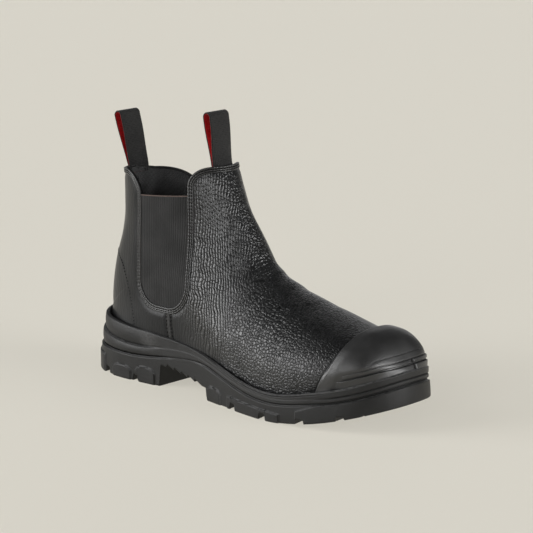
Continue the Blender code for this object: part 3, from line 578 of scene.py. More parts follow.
def merge_points(points, faces, near=NEAR):
    """Merges points that are closer than near, and drops faces that lose a corner."""
    cells = np.round(points[:, :3] / near).astype(np.int64)
    _, first, where = np.unique(cells, axis=0, return_index=True, return_inverse=True)
    faces = where.reshape(-1)[faces]
    good = np.ones(len(faces), dtype=bool)
    for i in range(faces.shape[1]):
        good &= faces[:, i] != faces[:, (i + 1) % faces.shape[1]]
    lost = faces[~good]
    faces = [faces[good]]
    if faces[0].shape[1] == 4 and len(lost):
        same = lost == np.roll(lost, -1, axis=1)
        single = same.sum(1) == 1
        start = (same[single].argmax(1)[:, None] + np.arange(1, 4)) % 4
        faces.append(np.take_along_axis(lost[single], start, axis=1))
    return points[first], faces


def closed_ends(grid):
    """Points and faces of rings along a path: the end rings are drawn together to points of their own."""
    first, last = (np.broadcast_to(ring.mean(axis=0), ring.shape) for ring in (grid[0], grid[-1]))
    grid = np.concatenate([first[None], grid, last[None]])
    return merge_points(grid.reshape(-1, grid.shape[-1]), grid_faces(*grid.shape[:2], wrap=True), VERY_NEAR)


def piece(name, points, faces, material, node=None, sharp=0.7, marks=None, uv=None):
    """A finished object from arrays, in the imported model's frame, smooth but for edges sharper than an angle.

    marks are values at the points that a material reads by name, and uv a pair of values at the points.
    """
    lists = faces if isinstance(faces, list) else [faces]
    mesh = bpy.data.meshes.new(name)
    mesh.from_pydata((points[:, :3] - ORIGIN).tolist(), [], [f for part in lists for f in part.tolist()])
    mesh.shade_smooth()
    mesh.set_sharp_from_angle(angle=sharp)
    for word, values in (marks or {}).items():
        layer = mesh.attributes.new(word, "FLOAT", "POINT")
        layer.data.foreach_set("value", np.asarray(values, dtype=np.float32))
    if uv is not None:
        corners = np.empty(len(mesh.loops), dtype=np.int32)
        mesh.loops.foreach_get("vertex_index", corners)
        layer = mesh.uv_layers.new(name="cloth")
        layer.data.foreach_set("uv", np.asarray(uv, dtype=np.float32)[corners].reshape(-1))
    mesh.materials.append(material)
    made = bpy.data.objects.new(name, mesh)
    bpy.context.scene.collection.objects.link(made)
    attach(made, "root")
    if node:
        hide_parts(node)
    return made


# Materials


def feed(tree, sockets, inputs):
    """Links sockets, by name or number, to other sockets or sets them to values."""
    for name, value in inputs.items():
        if isinstance(value, bpy.types.NodeSocket):
            tree.links.new(value, sockets[name])
        else:
            sockets[name].default_value = value


def add(tree, kind, inputs=None, **settings):
    """A node with its settings, and with its inputs linked to sockets or set to values."""
    made = tree.nodes.new(kind)
    for name, value in settings.items():
        setattr(made, name, value)
    feed(tree, made.inputs, inputs or {})
    return made


def maths(tree, operation, a, b=0.0, c=0.0):
    """Result of a Math node."""
    return add(tree, "ShaderNodeMath", {0: a, 1: b, 2: c}, operation=operation).outputs[0]


def one_less(tree, value):
    """1 less a value."""
    return maths(tree, "SUBTRACT", 1.0, value)


def vectors(tree, operation, a, b, c=(0.0, 0.0, 0.0)):
    """Result of a Vector Math node."""
    return add(tree, "ShaderNodeVectorMath", {0: a, 1: b, 2: c}, operation=operation).outputs[0]


def in_cells(tree, place, size):
    """A place counted in cells of a size."""
    cell = add(tree, "ShaderNodeCombineXYZ", {0: size, 1: size, 2: size}).outputs[0]
    return vectors(tree, "DIVIDE", place, cell)


def noise(tree, place, scale, detail, roughness=0.5, output="Fac"):
    """Grey clouds (Fac) or clouds in three colours (Color) of a Noise node."""
    return add(tree, "ShaderNodeTexNoise",
               {"Vector": place, "Scale": scale, "Detail": detail, "Roughness": roughness}).outputs[output]


def ranged(tree, value, low, high, to_low, to_high, smooth=True):
    """A value carried from one range to another, softly, and held at the ends."""
    return add(tree, "ShaderNodeMapRange",
               {"Value": value, "From Min": low, "From Max": high, "To Min": to_low, "To Max": to_high},
               interpolation_type="SMOOTHSTEP" if smooth else "LINEAR").outputs["Result"]


def mixed(tree, share, a, b):
    """Mix of two colours."""
    return add(tree, "ShaderNodeMix", {0: share, 6: a, 7: b}, data_type="RGBA").outputs[2]


def blended(tree, share, a, b):
    """Mix of two values."""
    return add(tree, "ShaderNodeMix", {0: share, 2: a, 3: b}).outputs[0]


def pillow(tree, off, reach):
    """A rounded rise from 0 at a crease to 1 at a reach from it: 1 less the square of the way left."""
    left = one_less(tree, ranged(tree, off, 0.0, reach, 0.0, 1.0, smooth=False))
    return one_less(tree, maths(tree, "MULTIPLY", left, left))


def group(name, inputs, outputs):
    """A shader node group with named sockets: its tree, its inputs' sockets and its output node."""
    tree = bpy.data.node_groups.new(name, "ShaderNodeTree")
    for word, kind in inputs:
        tree.interface.new_socket(name=word, in_out="INPUT", socket_type=kind)
    for word, kind in outputs:
        tree.interface.new_socket(name=word, in_out="OUTPUT", socket_type=kind)
    source = tree.nodes.new("NodeGroupInput")
    sink = tree.nodes.new("NodeGroupOutput")
    return tree, source.outputs, sink.inputs


FLOAT = "NodeSocketFloat"
VECTOR = "NodeSocketVector"


def grain_group():
    """Pebbled grain: winding upright columns of long pebbles where Side is 1, plain round cells where it is 0.

    A pebble is a pillow that falls by the square of the way to its creases. A column's breaks have a random phase.
    """
    tree, given, result = group(
        "pebble_grain", [("Position", VECTOR), ("Cell", FLOAT), ("Stretch", FLOAT), ("Side", FLOAT),
                         ("Breaks", FLOAT), ("Amount", FLOAT)],
        [("Height", FLOAT), ("Crease", FLOAT)])
    place = in_cells(tree, given["Position"], given["Cell"])
    drift = vectors(tree, "SUBTRACT", noise(tree, place, 0.20, 1.0, output="Color"), (0.5, 0.5, 0.5))
    warped = vectors(tree, "MULTIPLY_ADD", drift, (2.2, 2.2, 2.2), place)
    parts = add(tree, "ShaderNodeSeparateXYZ", {0: warped}).outputs
    forward = maths(tree, "MULTIPLY", parts[0], 0.85)
    round_way = maths(tree, "MULTIPLY_ADD", maths(tree, "ABSOLUTE", parts[1]), -0.75, forward)
    column = maths(tree, "FLOOR", round_way)
    chance = add(tree, "ShaderNodeTexWhiteNoise", {"W": column}, noise_dimensions="1D").outputs["Value"]
    in_column = add(tree, "ShaderNodeCombineXYZ", {
        0: maths(tree, "MULTIPLY", column, 3.7), 2: maths(tree, "MULTIPLY", parts[2], 0.35)}).outputs[0]
    uneven = maths(tree, "MULTIPLY", noise(tree, in_column, 1.0, 1.0), 1.6)
    along = maths(tree, "DIVIDE", parts[2], given["Stretch"])
    along = maths(tree, "ADD", along, maths(tree, "MULTIPLY_ADD", chance, 7.0, uneven))
    off_column = maths(tree, "PINGPONG", round_way, 0.5)
    off_break = maths(tree, "PINGPONG", along, 0.5)
    breaking = maths(tree, "MULTIPLY", one_less(tree, pillow(tree, off_break, 0.30)), given["Breaks"])
    unbroken = maths(tree, "MULTIPLY_ADD", breaking, -0.55, 1.0)
    long_pebble = maths(tree, "MULTIPLY", pillow(tree, off_column, 0.46), unbroken)
    break_line = maths(tree, "MULTIPLY", ranged(tree, off_break, 0.0, 0.13, 1.0, 0.0), given["Breaks"])
    long_crease = maths(tree, "MAXIMUM", ranged(tree, off_column, 0.0, 0.25, 1.0, 0.0),
                        maths(tree, "MULTIPLY", break_line, 0.50))
    off_cell = add(tree, "ShaderNodeTexVoronoi", {"Vector": warped, "Scale": 0.92, "Randomness": 0.75},
                   feature="DISTANCE_TO_EDGE").outputs["Distance"]
    round_crease = ranged(tree, off_cell, 0.0, 0.16, 1.0, 0.0)
    pebble = blended(tree, given["Side"], pillow(tree, off_cell, 0.40), long_pebble)
    crease = blended(tree, given["Side"], round_crease, long_crease)
    height = maths(tree, "MULTIPLY_ADD", noise(tree, warped, 2.6, 2.0), 0.05, pebble)
    feed(tree, result, {"Height": maths(tree, "MULTIPLY", height, given["Amount"]),
                        "Crease": maths(tree, "MULTIPLY", crease, given["Amount"])})
    return tree


def weave_group():
    """Plain weave: rounded threads across and along that pass over each other by turns."""
    tree, given, result = group(
        "plain_weave", [("Cloth", VECTOR), ("Across", FLOAT), ("Along", FLOAT), ("Rib", FLOAT)],
        [("Height", FLOAT), ("Gap", FLOAT)])
    parts = add(tree, "ShaderNodeSeparateXYZ", {0: given["Cloth"]}).outputs
    u = maths(tree, "MULTIPLY", maths(tree, "DIVIDE", parts[0], given["Across"]), math.pi)
    v = maths(tree, "MULTIPLY", maths(tree, "DIVIDE", parts[1], given["Along"]), math.pi)
    warp = maths(tree, "ABSOLUTE", maths(tree, "SINE", u))
    weft = maths(tree, "ABSOLUTE", maths(tree, "SINE", v))
    turn = maths(tree, "MULTIPLY", maths(tree, "SINE", maths(tree, "MULTIPLY", u, 0.5)),
                 maths(tree, "SINE", maths(tree, "MULTIPLY", v, 0.5)))
    over = ranged(tree, turn, -0.25, 0.25, 0.0, 1.0)
    threads = maths(tree, "ADD", maths(tree, "MULTIPLY", warp, over),
                    maths(tree, "MULTIPLY", weft, one_less(tree, over)))
    ribs = maths(tree, "MULTIPLY", warp, given["Rib"])
    height = maths(tree, "MULTIPLY_ADD", threads, one_less(tree, given["Rib"]), ribs)
    feed(tree, result, {"Height": height, "Gap": ranged(tree, height, 0.15, 0.6, 1.0, 0.0)})
    return tree


def moulded_group():
    """Moulded rubber: fine spark grain, broad mottle, and pale spots on marked edges, wear and painted highlight."""
    tree, given, result = group(
        "moulded_skin", [("Position", VECTOR), ("Grain", FLOAT), ("Edge", FLOAT)],
        [("Height", FLOAT), ("Mottle", FLOAT), ("WearAndHighlight", FLOAT)])
    place = in_cells(tree, given["Position"], given["Grain"])
    broad = noise(tree, given["Position"], 55.0, 3.0)
    flecks = noise(tree, given["Position"], 420.0, 2.0)
    wear_and_highlight = maths(tree, "MULTIPLY", given["Edge"], ranged(tree, flecks, 0.3, 0.6, 0.25, 1.0))
    feed(tree, result, {"Height": noise(tree, place, 1.0, 3.0, 0.6),
                        "Mottle": ranged(tree, broad, 0.3, 0.7, 0.0, 1.0), "WearAndHighlight": wear_and_highlight})
    return tree


GRAIN = grain_group()
WEAVE = weave_group()
MOULDED = moulded_group()


def placed(tree, shared, inputs):
    """A shared group placed in a material, with its own values."""
    return add(tree, "ShaderNodeGroup", inputs, node_tree=shared).outputs


def new_material(name, **values):
    """A material's tree and its Principled shader, with constant values set on the shader's sockets."""
    material = bpy.data.materials.new(name)
    material.use_nodes = True
    tree = material.node_tree
    shader = tree.nodes["Principled BSDF"]
    for word, value in values.items():
        shader.inputs[word.replace("_", " ").title().replace("Ior", "IOR")].default_value = value
    return material, tree, shader


def bump(tree, height, distance):
    """Normal of a Bump node. distance is how deep a height of 1 is, in metres."""
    return add(tree, "ShaderNodeBump", {"Height": height, "Distance": distance}).outputs["Normal"]


def object_place(tree):
    """Place in the object's own frame."""
    return add(tree, "ShaderNodeTexCoord").outputs["Object"]


def cloth_place(tree):
    """Place on the cloth, across and along, from the piece's own UV map."""
    return add(tree, "ShaderNodeUVMap", uv_map="cloth").outputs["UV"]


def mark(tree, name):
    """A mark of the mesh, by name."""
    return add(tree, "ShaderNodeAttribute", attribute_name=name).outputs["Fac"]


def grey(value, warm=0.0):
    """A grey, a little warm or cool."""
    return (value * (1 + warm), value, value * (1 - warm), 1.0)


def leather_material():
    """Black leather: pebbled grain where the mark says so, glossy tops, dull creases darkened as painted shade."""
    material, tree, shader = new_material("black_leather", specular_ior_level=0.10, coat_roughness=0.32)
    place = object_place(tree)
    amount = mark(tree, "grain")
    grain = placed(tree, GRAIN, {"Position": place, "Cell": 0.0024, "Stretch": 1.5, "Side": mark(tree, "side"),
                                 "Breaks": mark(tree, "breaks"), "Amount": amount})
    cloud = noise(tree, place, 38.0, 4.0)
    tops = mixed(tree, ranged(tree, cloud, 0.3, 0.7, 0.0, 1.0), grey(0.009, -0.04), grey(0.015, -0.02))
    gloss = maths(tree, "MULTIPLY_ADD", amount, 0.95, 0.05)
    relief = bump(tree, grain["Height"], 0.0005)
    feed(tree, shader.inputs, {
        # Painted shade: the grain's creases are darker.
        "Base Color": mixed(tree, grain["Crease"], tops, grey(0.002)),
        "Roughness": maths(tree, "MULTIPLY_ADD", cloud, 0.14, 0.29),
        "Coat Weight": maths(tree, "MULTIPLY", gloss, one_less(tree, grain["Crease"])),
        "Normal": relief, "Coat Normal": relief})
    return material


def smooth_leather_material():
    """The sewn edges: the same leather pulled smooth, with fine pores; painted shade darkens pores and grooves."""
    material, tree, shader = new_material("edge_leather", specular_ior_level=0.15, coat_roughness=0.35)
    grain = placed(tree, GRAIN, {"Position": object_place(tree), "Cell": 0.0009, "Stretch": 1.3, "Side": 0.0,
                                 "Breaks": 0.0, "Amount": 0.5})
    # Painted shade in the seams' grooves, where the mesh marks it: darker, rougher, with less coat.
    sunk = mark(tree, "groove")
    # Painted shade in the pores.
    colour = mixed(tree, grain["Crease"], grey(0.014), grey(0.005))
    feed(tree, shader.inputs, {
        "Base Color": mixed(tree, sunk, colour, grey(0.003)),
        "Roughness": maths(tree, "MULTIPLY_ADD", sunk, 0.15, 0.36),
        "Coat Weight": ranged(tree, sunk, 0.0, 1.0, 0.9, 0.1),
        "Normal": bump(tree, grain["Height"], 0.0002)})
    return material


def rubber_material(name, pale, dark, roughness, shine, grain_size, depth):
    """Moulded black rubber: fine grain, mottle, paler edges of wear and painted highlight, and painted shade."""
    material, tree, shader = new_material(name, specular_ior_level=shine)
    moulded = placed(tree, MOULDED, {"Position": object_place(tree), "Grain": grain_size, "Edge": mark(tree, "edge")})
    # Painted shade, read from the mesh: darker colour and higher roughness in grooves and along edges.
    painted_shade = mark(tree, "painted_shade")
    colour = mixed(tree, moulded["Mottle"], grey(dark), grey(pale))
    # Paler marked edges: flecks of wear, partly a painted highlight.
    colour = mixed(tree, moulded["WearAndHighlight"], colour, grey(pale * 5.0))
    rough = maths(tree, "MULTIPLY_ADD", moulded["Mottle"], 0.10, roughness)
    rough = maths(tree, "MULTIPLY_ADD", painted_shade, 0.5, rough)
    feed(tree, shader.inputs, {
        "Base Color": mixed(tree, painted_shade, colour, grey(0.001)),
        "Roughness": maths(tree, "MULTIPLY_ADD", moulded["WearAndHighlight"], -0.06, rough),
        "Normal": bump(tree, moulded["Height"], depth)})
    return material


def woven(tree, shader, tops, gaps, weave, roughness, depth):
    """Feeds a weave's look to a shader: colours of its threads and gaps, roughness, and relief."""
    feed(tree, shader.inputs, {
        "Base Color": mixed(tree, weave["Gap"], tops, gaps),
        "Roughness": roughness,
        "Normal": bump(tree, weave["Height"], depth)})


def elastic_material():
    """Ribbed elastic: fine upright ribs over a weave, dark between them."""
    material, tree, shader = new_material("ribbed_elastic", sheen_weight=0.06, sheen_roughness=0.5,
                                          specular_ior_level=0.2)
    weave = placed(tree, WEAVE, {"Cloth": cloth_place(tree), "Across": 0.0020, "Along": 0.0011, "Rib": 0.7})
    cloud = ranged(tree, noise(tree, object_place(tree), 60.0, 3.0), 0.3, 0.7, 0.0, 1.0)
    woven(tree, shader, mixed(tree, cloud, grey(0.014), grey(0.024)), grey(0.007), weave,
          maths(tree, "MULTIPLY_ADD", weave["Gap"], 0.1, 0.78), 0.00022)
    return material


def webbing_material():
    """Woven tape: charcoal outside, red inside the loop, with plain weave and soft fuzz."""
    material, tree, shader = new_material("woven_tape", sheen_weight=0.05, sheen_roughness=0.5,
                                          specular_ior_level=0.2)
    weave = placed(tree, WEAVE, {"Cloth": cloth_place(tree), "Across": 0.0013, "Along": 0.0013, "Rib": 0.25})
    cloud = noise(tree, object_place(tree), 90.0, 3.0)
    inside = mark(tree, "inside")
    charcoal = mixed(tree, cloud, grey(0.011), grey(0.026, 0.03))
    red = mixed(tree, cloud, (0.40, 0.004, 0.008, 1.0), (0.56, 0.008, 0.012, 1.0))
    gaps = mixed(tree, inside, grey(0.004), (0.16, 0.002, 0.004, 1.0))
    woven(tree, shader, mixed(tree, inside, charcoal, red), gaps, weave,
          maths(tree, "MULTIPLY_ADD", weave["Gap"], 0.1, 0.75), 0.0004)
    return material


def cloth_material(name, pale, dark, thread):
    """Dark lining or insole cloth: a plain weave with soft unevenness."""
    material, tree, shader = new_material(name, sheen_weight=0.25, sheen_roughness=0.6)
    weave = placed(tree, WEAVE, {"Cloth": cloth_place(tree), "Across": thread, "Along": thread, "Rib": 0.1})
    cloud = noise(tree, object_place(tree), 70.0, 4.0)
    woven(tree, shader, mixed(tree, cloud, grey(dark), grey(pale)), grey(dark * 0.5), weave,
          maths(tree, "MULTIPLY_ADD", cloud, 0.1, 0.82), 0.0004)
    return material


def thread_material(name, colour):
    """Twisted sewing thread: a fine slanted ripple."""
    material, tree, shader = new_material(name, roughness=0.75, specular_ior_level=0.2)
    wave = add(tree, "ShaderNodeTexWave", {"Vector": object_place(tree), "Scale": 900.0, "Distortion": 1.0},
               bands_direction="DIAGONAL").outputs["Fac"]
    dark = tuple(c * 0.55 for c in colour[:3]) + (1.0,)
    feed(tree, shader.inputs, {"Base Color": mixed(tree, wave, dark, colour), "Normal": bump(tree, wave, 0.0001)})
    return material


LEATHER = leather_material()
EDGE_LEATHER = smooth_leather_material()
OUTSOLE_RUBBER = rubber_material("outsole_rubber", 0.010, 0.007, 0.42, 0.26, 0.0007, 0.00012)
MIDSOLE_RUBBER = rubber_material("midsole_rubber", 0.014, 0.010, 0.42, 0.26, 0.0006, 0.00010)
CAP_RUBBER = rubber_material("cap_rubber", 0.019, 0.013, 0.36, 0.60, 0.0006, 0.00010)
ELASTIC = elastic_material()
WEBBING = webbing_material()
LINING = cloth_material("lining_cloth", 0.014, 0.006, 0.0010)
INSOLE_CLOTH = cloth_material("insole_cloth", 0.045, 0.030, 0.0016)
THREAD = thread_material("black_thread", grey(0.004))
TRIM = thread_material("gore_trim", (0.14, 0.105, 0.092, 1.0))


# Outsole


def off_line(x, away, at, sweep):
    """Way off a line across the sole that sweeps forward with the way from the middle."""
    return np.abs(x - at - math.tan(sweep) * away) * math.cos(sweep)


def tread(x, y):
    """How far the underside is cut up at x and y: swept channels, ribs across the arch, shallow sipes between."""
    away = np.abs(y)
    side_of_spine = smooth_step(away, CHANNEL_SPINE - 0.0004, CHANNEL_SPINE + 0.0004)
    cut = np.zeros(np.shape(x))
    for at, width, sweep in CHANNELS:
        within = smooth_step(width / 2 - off_line(x, away, at, sweep), -0.0003, 0.0004)
        cut = np.maximum(cut, (CHANNEL_DEPTH + ground(at) - ground(x)) * within * side_of_spine)
    for at, sweep in SIPES:
        within = smooth_step(SIPE_HALF - off_line(x, away, at, sweep), -0.0003, 0.0003)
        ends = smooth_step(away, 0.004, 0.005) * smooth_step(SIPE_END - away, -0.0004, 0.0004)
        cut = np.maximum(cut, SIPE_DEPTH * within * ends)
    tooth = np.clip(1.15 * (1 - (x - TOOTH_START) / TOOTH_PITCH % 1.0), 0.0, 1.0)
    on_arch = between(x, (TOOTH_START - 0.0008, TOOTH_START), (TOOTH_END, TOOTH_END + 0.0010))
    return np.maximum(cut, TOOTH_DEPTH * tooth * on_arch)


def underside(x, y):
    """Height of the outsole's underside."""
    return ground(x) + tread(x, y)


def joint_bevel(x):
    """How far both soles draw in to the groove between them. The groove runs out at the arch."""
    deep = 0.0012 - 0.0004 * smooth_step(x, 0.20, 0.28)
    return deep - (deep - 0.0001) * between(x, (0.088, 0.108), (0.124, 0.150))


def pad_relief(x, z):
    """1 on the raised pads of the outsole's wall, falling softly to 0 over their edges.

    The pads at the heel's back and at the toe go on round the boot's ends.
    """
    relief = np.zeros(np.shape(x))
    for start, end, top_start, top_end, round_top in PADS:
        share = np.clip((x - start) / (end - start), 0.0, 1.0)
        top = top_start + (top_end - top_start) * share - round_top * (2 * share - 1) ** 4
        top = np.clip(top, ground(x) + PAD_LEAST, sole_height("joint", x) - PAD_BELOW_JOINT)
        after = x - start if start > 0.0 else x + LENGTH
        before = end - x if end < LENGTH else 2 * LENGTH - x
        within = np.minimum(np.minimum(after, before), top - z)
        relief = np.maximum(relief, smooth_step(within, -0.0003, 0.0006))
    return relief


def ring_halves(ring):
    """The outer and the inner half of a closed ring, both from heel to toe."""
    toe = ROUND_STATIONS - 1
    return ring[:ROUND_STATIONS], np.concatenate([ring[:1], ring[:toe:-1], ring[toe:ROUND_STATIONS]])


def build_outsole():
    """Rings up the wall, from the cut underside to the joint, an underside of rows across, and a plain top.

    The wall stands back between the pads. Its lower edge is rounded off, and it draws in to the joint's groove.
    """
    share = np.concatenate([np.linspace(0.0, 0.12, 6), np.linspace(0.12, 0.90, 27)[1:], np.linspace(0.9, 1.0, 6)[1:]])
    foot = loop_rings(np.full((1, len(LOOP_X)), PAD_HEIGHT * 0.5), 0.0)[0]
    low = underside(foot[:, 0], foot[:, 1])
    joint = sole_height("joint", LOOP_X)
    z = low + (joint - low) * share[:, None]
    pad = pad_relief(np.broadcast_to(LOOP_X, z.shape), z)
    low_edge = 1 - smooth_step(z - low, 0.0, SOLE_EDGE)
    top_edge = smooth_step(z - joint, -SOLE_EDGE, 0.0)
    lean = 0.0010 * smooth_step(LOOP_X, 0.22, 0.28) * share[:, None] ** 2
    inset = PAD_HEIGHT * (1 - pad) + lean + 0.0006 * low_edge**2 + joint_bevel(LOOP_X) * top_edge
    wall = loop_rings(inset, z)
    rings, around = wall.shape[:2]
    faces = [grid_faces(rings, around, wrap=True)]
    across = np.linspace(0.0, 1.0, 59)[None, :, None]
    outer, inner = ring_halves(wall[0])
    base = outer[:, None] + (inner - outer)[:, None] * across
    base[:, 1:-1, 2] = underside(base[:, 1:-1, 0], base[:, 1:-1, 1])
    start = rings * around
    faces.append(start + grid_faces(*base.shape[:2]))
    top = np.stack(ring_halves(wall[-1]), axis=1)
    faces.append(start + base[..., 0].size + grid_faces(*top.shape[:2])[:, ::-1])
    points = np.concatenate([part.reshape(-1, 3) for part in (wall, base, top)])
    # Paler edge mark on the pads' rims: wear, partly a painted highlight.
    edge = np.concatenate([(4 * pad * (1 - pad)).reshape(-1), np.zeros(base[..., 0].size + 2 * len(top))])
    merged, faces = merge_points(np.column_stack([points, edge]), np.concatenate(faces), VERY_NEAR)
    piece("outsole_rubber", merged, faces, OUTSOLE_RUBBER, "outsole", sharp=0.9,
          marks={"edge": merged[:, 3]})


build_outsole()


# Midsole


def last_floor(x):
    """Height of the feather line along the boot."""
    base_x, base_z = (LAST[name][:BACK_SEAM_ROW][::-1] for name in ("base_x", "base_z"))
    return natural_spline(base_x, base_z, np.clip(x, base_x[0], base_x[-1]))


def groove(away, width):
    """A soft trough: 1 in its middle, falling off as a bell over its half width."""
    return np.exp(-((away / width) ** 2))


def build_midsole():
    """Rings from the joint over the stepped side to the rim, in over the ledge and down to a floor.

    The side's inset is the heel's two bulging steps, which fade out at the arch, or the forefoot's lip, groove and
    band, which fade in there.
    """
    joint = sole_height("joint", LOOP_X) + 0.0003
    band = sole_height("band", LOOP_X)
    rim = sole_height("rim", LOOP_X)
    share = np.linspace(0.0, 1.0, 46)[:, None]
    z = joint + (rim - joint) * share
    heel = 1 - smooth_step(LOOP_X, *HEEL_FADE)
    backward = np.clip(-LOOP_NX, 0.0, 1.0) ** 1.5
    forward = np.clip(LOOP_NX, 0.0, 1.0) ** 2
    fore = smooth_step(LOOP_X, *FORE_FADE)
    above = smooth_step(z - band, -0.0009, 0.0005) * np.maximum(heel, 0.2)
    low_wall = 0.0003 + heel * (0.0008 + 0.0012 * backward) + 0.0003 * forward
    high_wall = 0.0012 + heel * (0.0010 + 0.0034 * backward)
    up_low, up_high = (np.clip((z - foot) / (top - foot), 0.0, 1.0) for foot, top in ((joint, band), (band, rim)))
    bulge = heel * (0.0007 * np.sin(math.pi * up_low) * (1 - above) + 0.0009 * np.sin(math.pi * up_high) * above)
    inset = PAD_HEIGHT + low_wall + (high_wall - low_wall) * above - bulge
    step_line = heel * 0.0007 * groove(z - band - 0.0004, 0.0007)
    at_toe = smooth_step(LOOP_X, *TOE_FADE)
    lip_line = fore * (1 - at_toe) * groove(z - rim + 0.0014, 0.0004)
    toe_line = at_toe * groove(z - band + 0.0004, 0.0006)
    inset = inset + step_line + 0.0005 * lip_line + 0.0007 * toe_line
    inset = inset + joint_bevel(LOOP_X) * (1 - smooth_step(z - joint, 0.0, 0.0012))
    inset = inset + 0.0012 * smooth_step(z - rim, -0.0012, 0.0) ** 2
    side = loop_rings(inset, z)
    ledge_z = np.concatenate([rim - np.array(LEDGE_DROP)[:, None], last_floor(LOOP_X)[None] - 0.0004])
    ledge = loop_rings(inset[-1] + np.array(LEDGE_WAY)[:, None], ledge_z)
    rings = np.concatenate([side, ledge])
    count, around = rings.shape[:2]
    faces = [grid_faces(count, around, wrap=True)]
    start = count * around
    points = [rings.reshape(-1, 3)]
    for level, turn in ((0, 1), (-1, -1)):
        points.append(np.stack(ring_halves(rings[level]), axis=1).reshape(-1, 3))
        faces.append(start + grid_faces(ROUND_STATIONS, 2)[:, ::turn])
        start += 2 * ROUND_STATIONS
    # Paler edge mark on the heel's step and the forefoot's lip: wear, partly a painted highlight along them.
    wear_and_highlight = heel * above * (1 - above) * 3 + fore * smooth_step(z - rim, -0.0014, -0.0002)
    # Painted shade in the lip, toe and step grooves.
    dark = np.maximum(np.maximum(0.7 * lip_line, 0.8 * toe_line), 900 * step_line)
    marks = np.zeros((start, 2))
    marks[:side[..., 0].size] = np.clip(np.stack([wear_and_highlight, dark], axis=-1), 0.0, 1.0).reshape(-1, 2)
    merged, faces = merge_points(np.column_stack([np.concatenate(points), marks]), np.concatenate(faces), VERY_NEAR)
    piece("midsole_rubber", merged, faces, MIDSOLE_RUBBER, "midsole", sharp=0.9,
          marks={"edge": merged[:, 3], "painted_shade": merged[:, 4]})


build_midsole()


# Leather of the upper


def crease_depth(x, z):
    """Depth of the soft creases: each a bell across its line, fading in and out along it."""
    depth = np.zeros(np.shape(x))
    for x0, z0, x1, z1, width, deep in CREASES:
        run = math.hypot(x1 - x0, z1 - z0)
        along = ((x - x0) * (x1 - x0) + (z - z0) * (z1 - z0)) / run
        off = ((x - x0) * (z1 - z0) - (z - z0) * (x1 - x0)) / run
        off = off + 0.0020 * np.sin(along / run * 5.0)
        ends = between(along, (-0.012, run * 0.3), (run * 0.7, run + 0.012))
        depth = depth + deep * groove(off, width) * ends
    return depth


def cap_edge_x(z):
    """x of the toe cap's back edge at a height."""
    edge = table(CAP_EDGE_COLUMNS, CAP_EDGE)
    return natural_spline(edge["z"], edge["x"], np.clip(z, edge["z"][0], edge["z"][-1]))


def upper_skin(shape, first_row, offset):
    """Grid over the last from a row near the toe to the collar: points, normals, way from the cut edge, turns."""
    row, turn = np.meshgrid(np.linspace(first_row, len(SECTIONS) - 1.0, shape[0]), np.linspace(-1.0, 1.0, shape[1]),
                            indexing="ij")
    row = row.reshape(-1)
    turn = turn.reshape(-1)
    points = skin(row, turn)
    normal = skin_normal(row, turn)
    outer, inner = (edge_distance(points[:, 0], points[:, 2], cut_outline(side)) for side in (-1, 1))
    return points + normal * offset, normal, np.where(turn > 0, inner, outer), turn


def cut_sheet(values, faces, away, least):
    """A sheet of triangles cut along the edge. Points nearer to it than the least way count as inside."""
    keep = np.where(np.abs(away) < least, 0.00001, away)
    values, faces = clip_triangles(values, faces, keep)
    return merge_points(values, faces)


def leather_marks(x, y, z, normal, away):
    """What the leather's grain reads: its amount, how far it runs in columns, and how far those break up.

    Each is a product of soft steps. The amount is small on the smooth rear and grows to the front. It falls off
    along the sewn edges, on top of the toe, just before the cap, low on the vamp and on the vamp's inner side.
    Columns lie on the steep sides, and mix with round pebbles on the vamp.
    """
    front = smooth_step(x + 0.25 * (z - 0.07), 0.100, 0.126)
    calm = smooth_step(0.63 * (x - 0.118) + 0.78 * (z - 0.068), -0.014, 0.008)
    vamp = smooth_step(x, 0.142, 0.176)
    steep = 1 - smooth_step(np.abs(normal[:, 2]), 0.55, 0.82)
    columns = steep * smooth_step(np.abs(normal[:, 1]), 0.20, 0.45) * (1 - 0.70 * vamp)
    toe_top = smooth_step(x, 0.215, 0.262) * smooth_step(z, 0.050, 0.066)
    low_vamp = vamp * (1 - smooth_step(z, 0.040, 0.060))
    inner_vamp = smooth_step(y, 0.006, 0.022) * smooth_step(x, 0.110, 0.150)
    amount = 0.14 + 0.86 * front * (0.40 + 0.60 * calm)
    amount = amount * (0.70 + 0.30 * smooth_step(away, 0.003, 0.010)) * (1 - 0.35 * toe_top)
    amount = amount * smooth_step(cap_edge_x(z) - x, 0.0002, 0.0016)
    amount = amount * (0.80 + 0.20 * columns) * (1 - 0.15 * low_vamp) * (1 - 0.55 * inner_vamp)
    breaks = 0.35 + 0.65 * np.maximum(smooth_step(z, 0.056, 0.090), smooth_step(x, 0.145, 0.175))
    return amount, columns, breaks


def build_leather():
    """The last's skin with soft creases, cut along the collar and the window, and lowered under the sewn edges."""
    points, normal, away, _ = upper_skin(SKIN_SHAPE, 2.2, 0.0)
    x = points[:, 0]
    z = points[:, 2]
    seam_x, seam_z = np.array(SIDE_SEAM_PATH)[::-1].T
    from_seam = np.abs(x - np.interp(z, seam_z, seam_x))
    under_edge = 1 - smooth_step(away, 0.0034, 0.0085)
    under_seam = (1 - smooth_step(from_seam, 0.0026, 0.0065)) * (1 - smooth_step(z, 0.062, 0.066))
    lower = 0.0007 * np.maximum(under_edge, under_seam) + crease_depth(x, z) * smooth_step(away, 0.004, 0.014)
    points = points - normal * lower[:, None]
    marks = leather_marks(x, points[:, 1], z, normal, away)
    faces = split_quads(grid_faces(*SKIN_SHAPE))
    values, faces = cut_sheet(np.column_stack([points, *marks]), faces, away, 0.0002)
    return piece("upper_leather", values, faces, LEATHER, "upper", sharp=1.2,
                 marks={"grain": values[:, 3], "side": values[:, 4], "breaks": values[:, 5]})


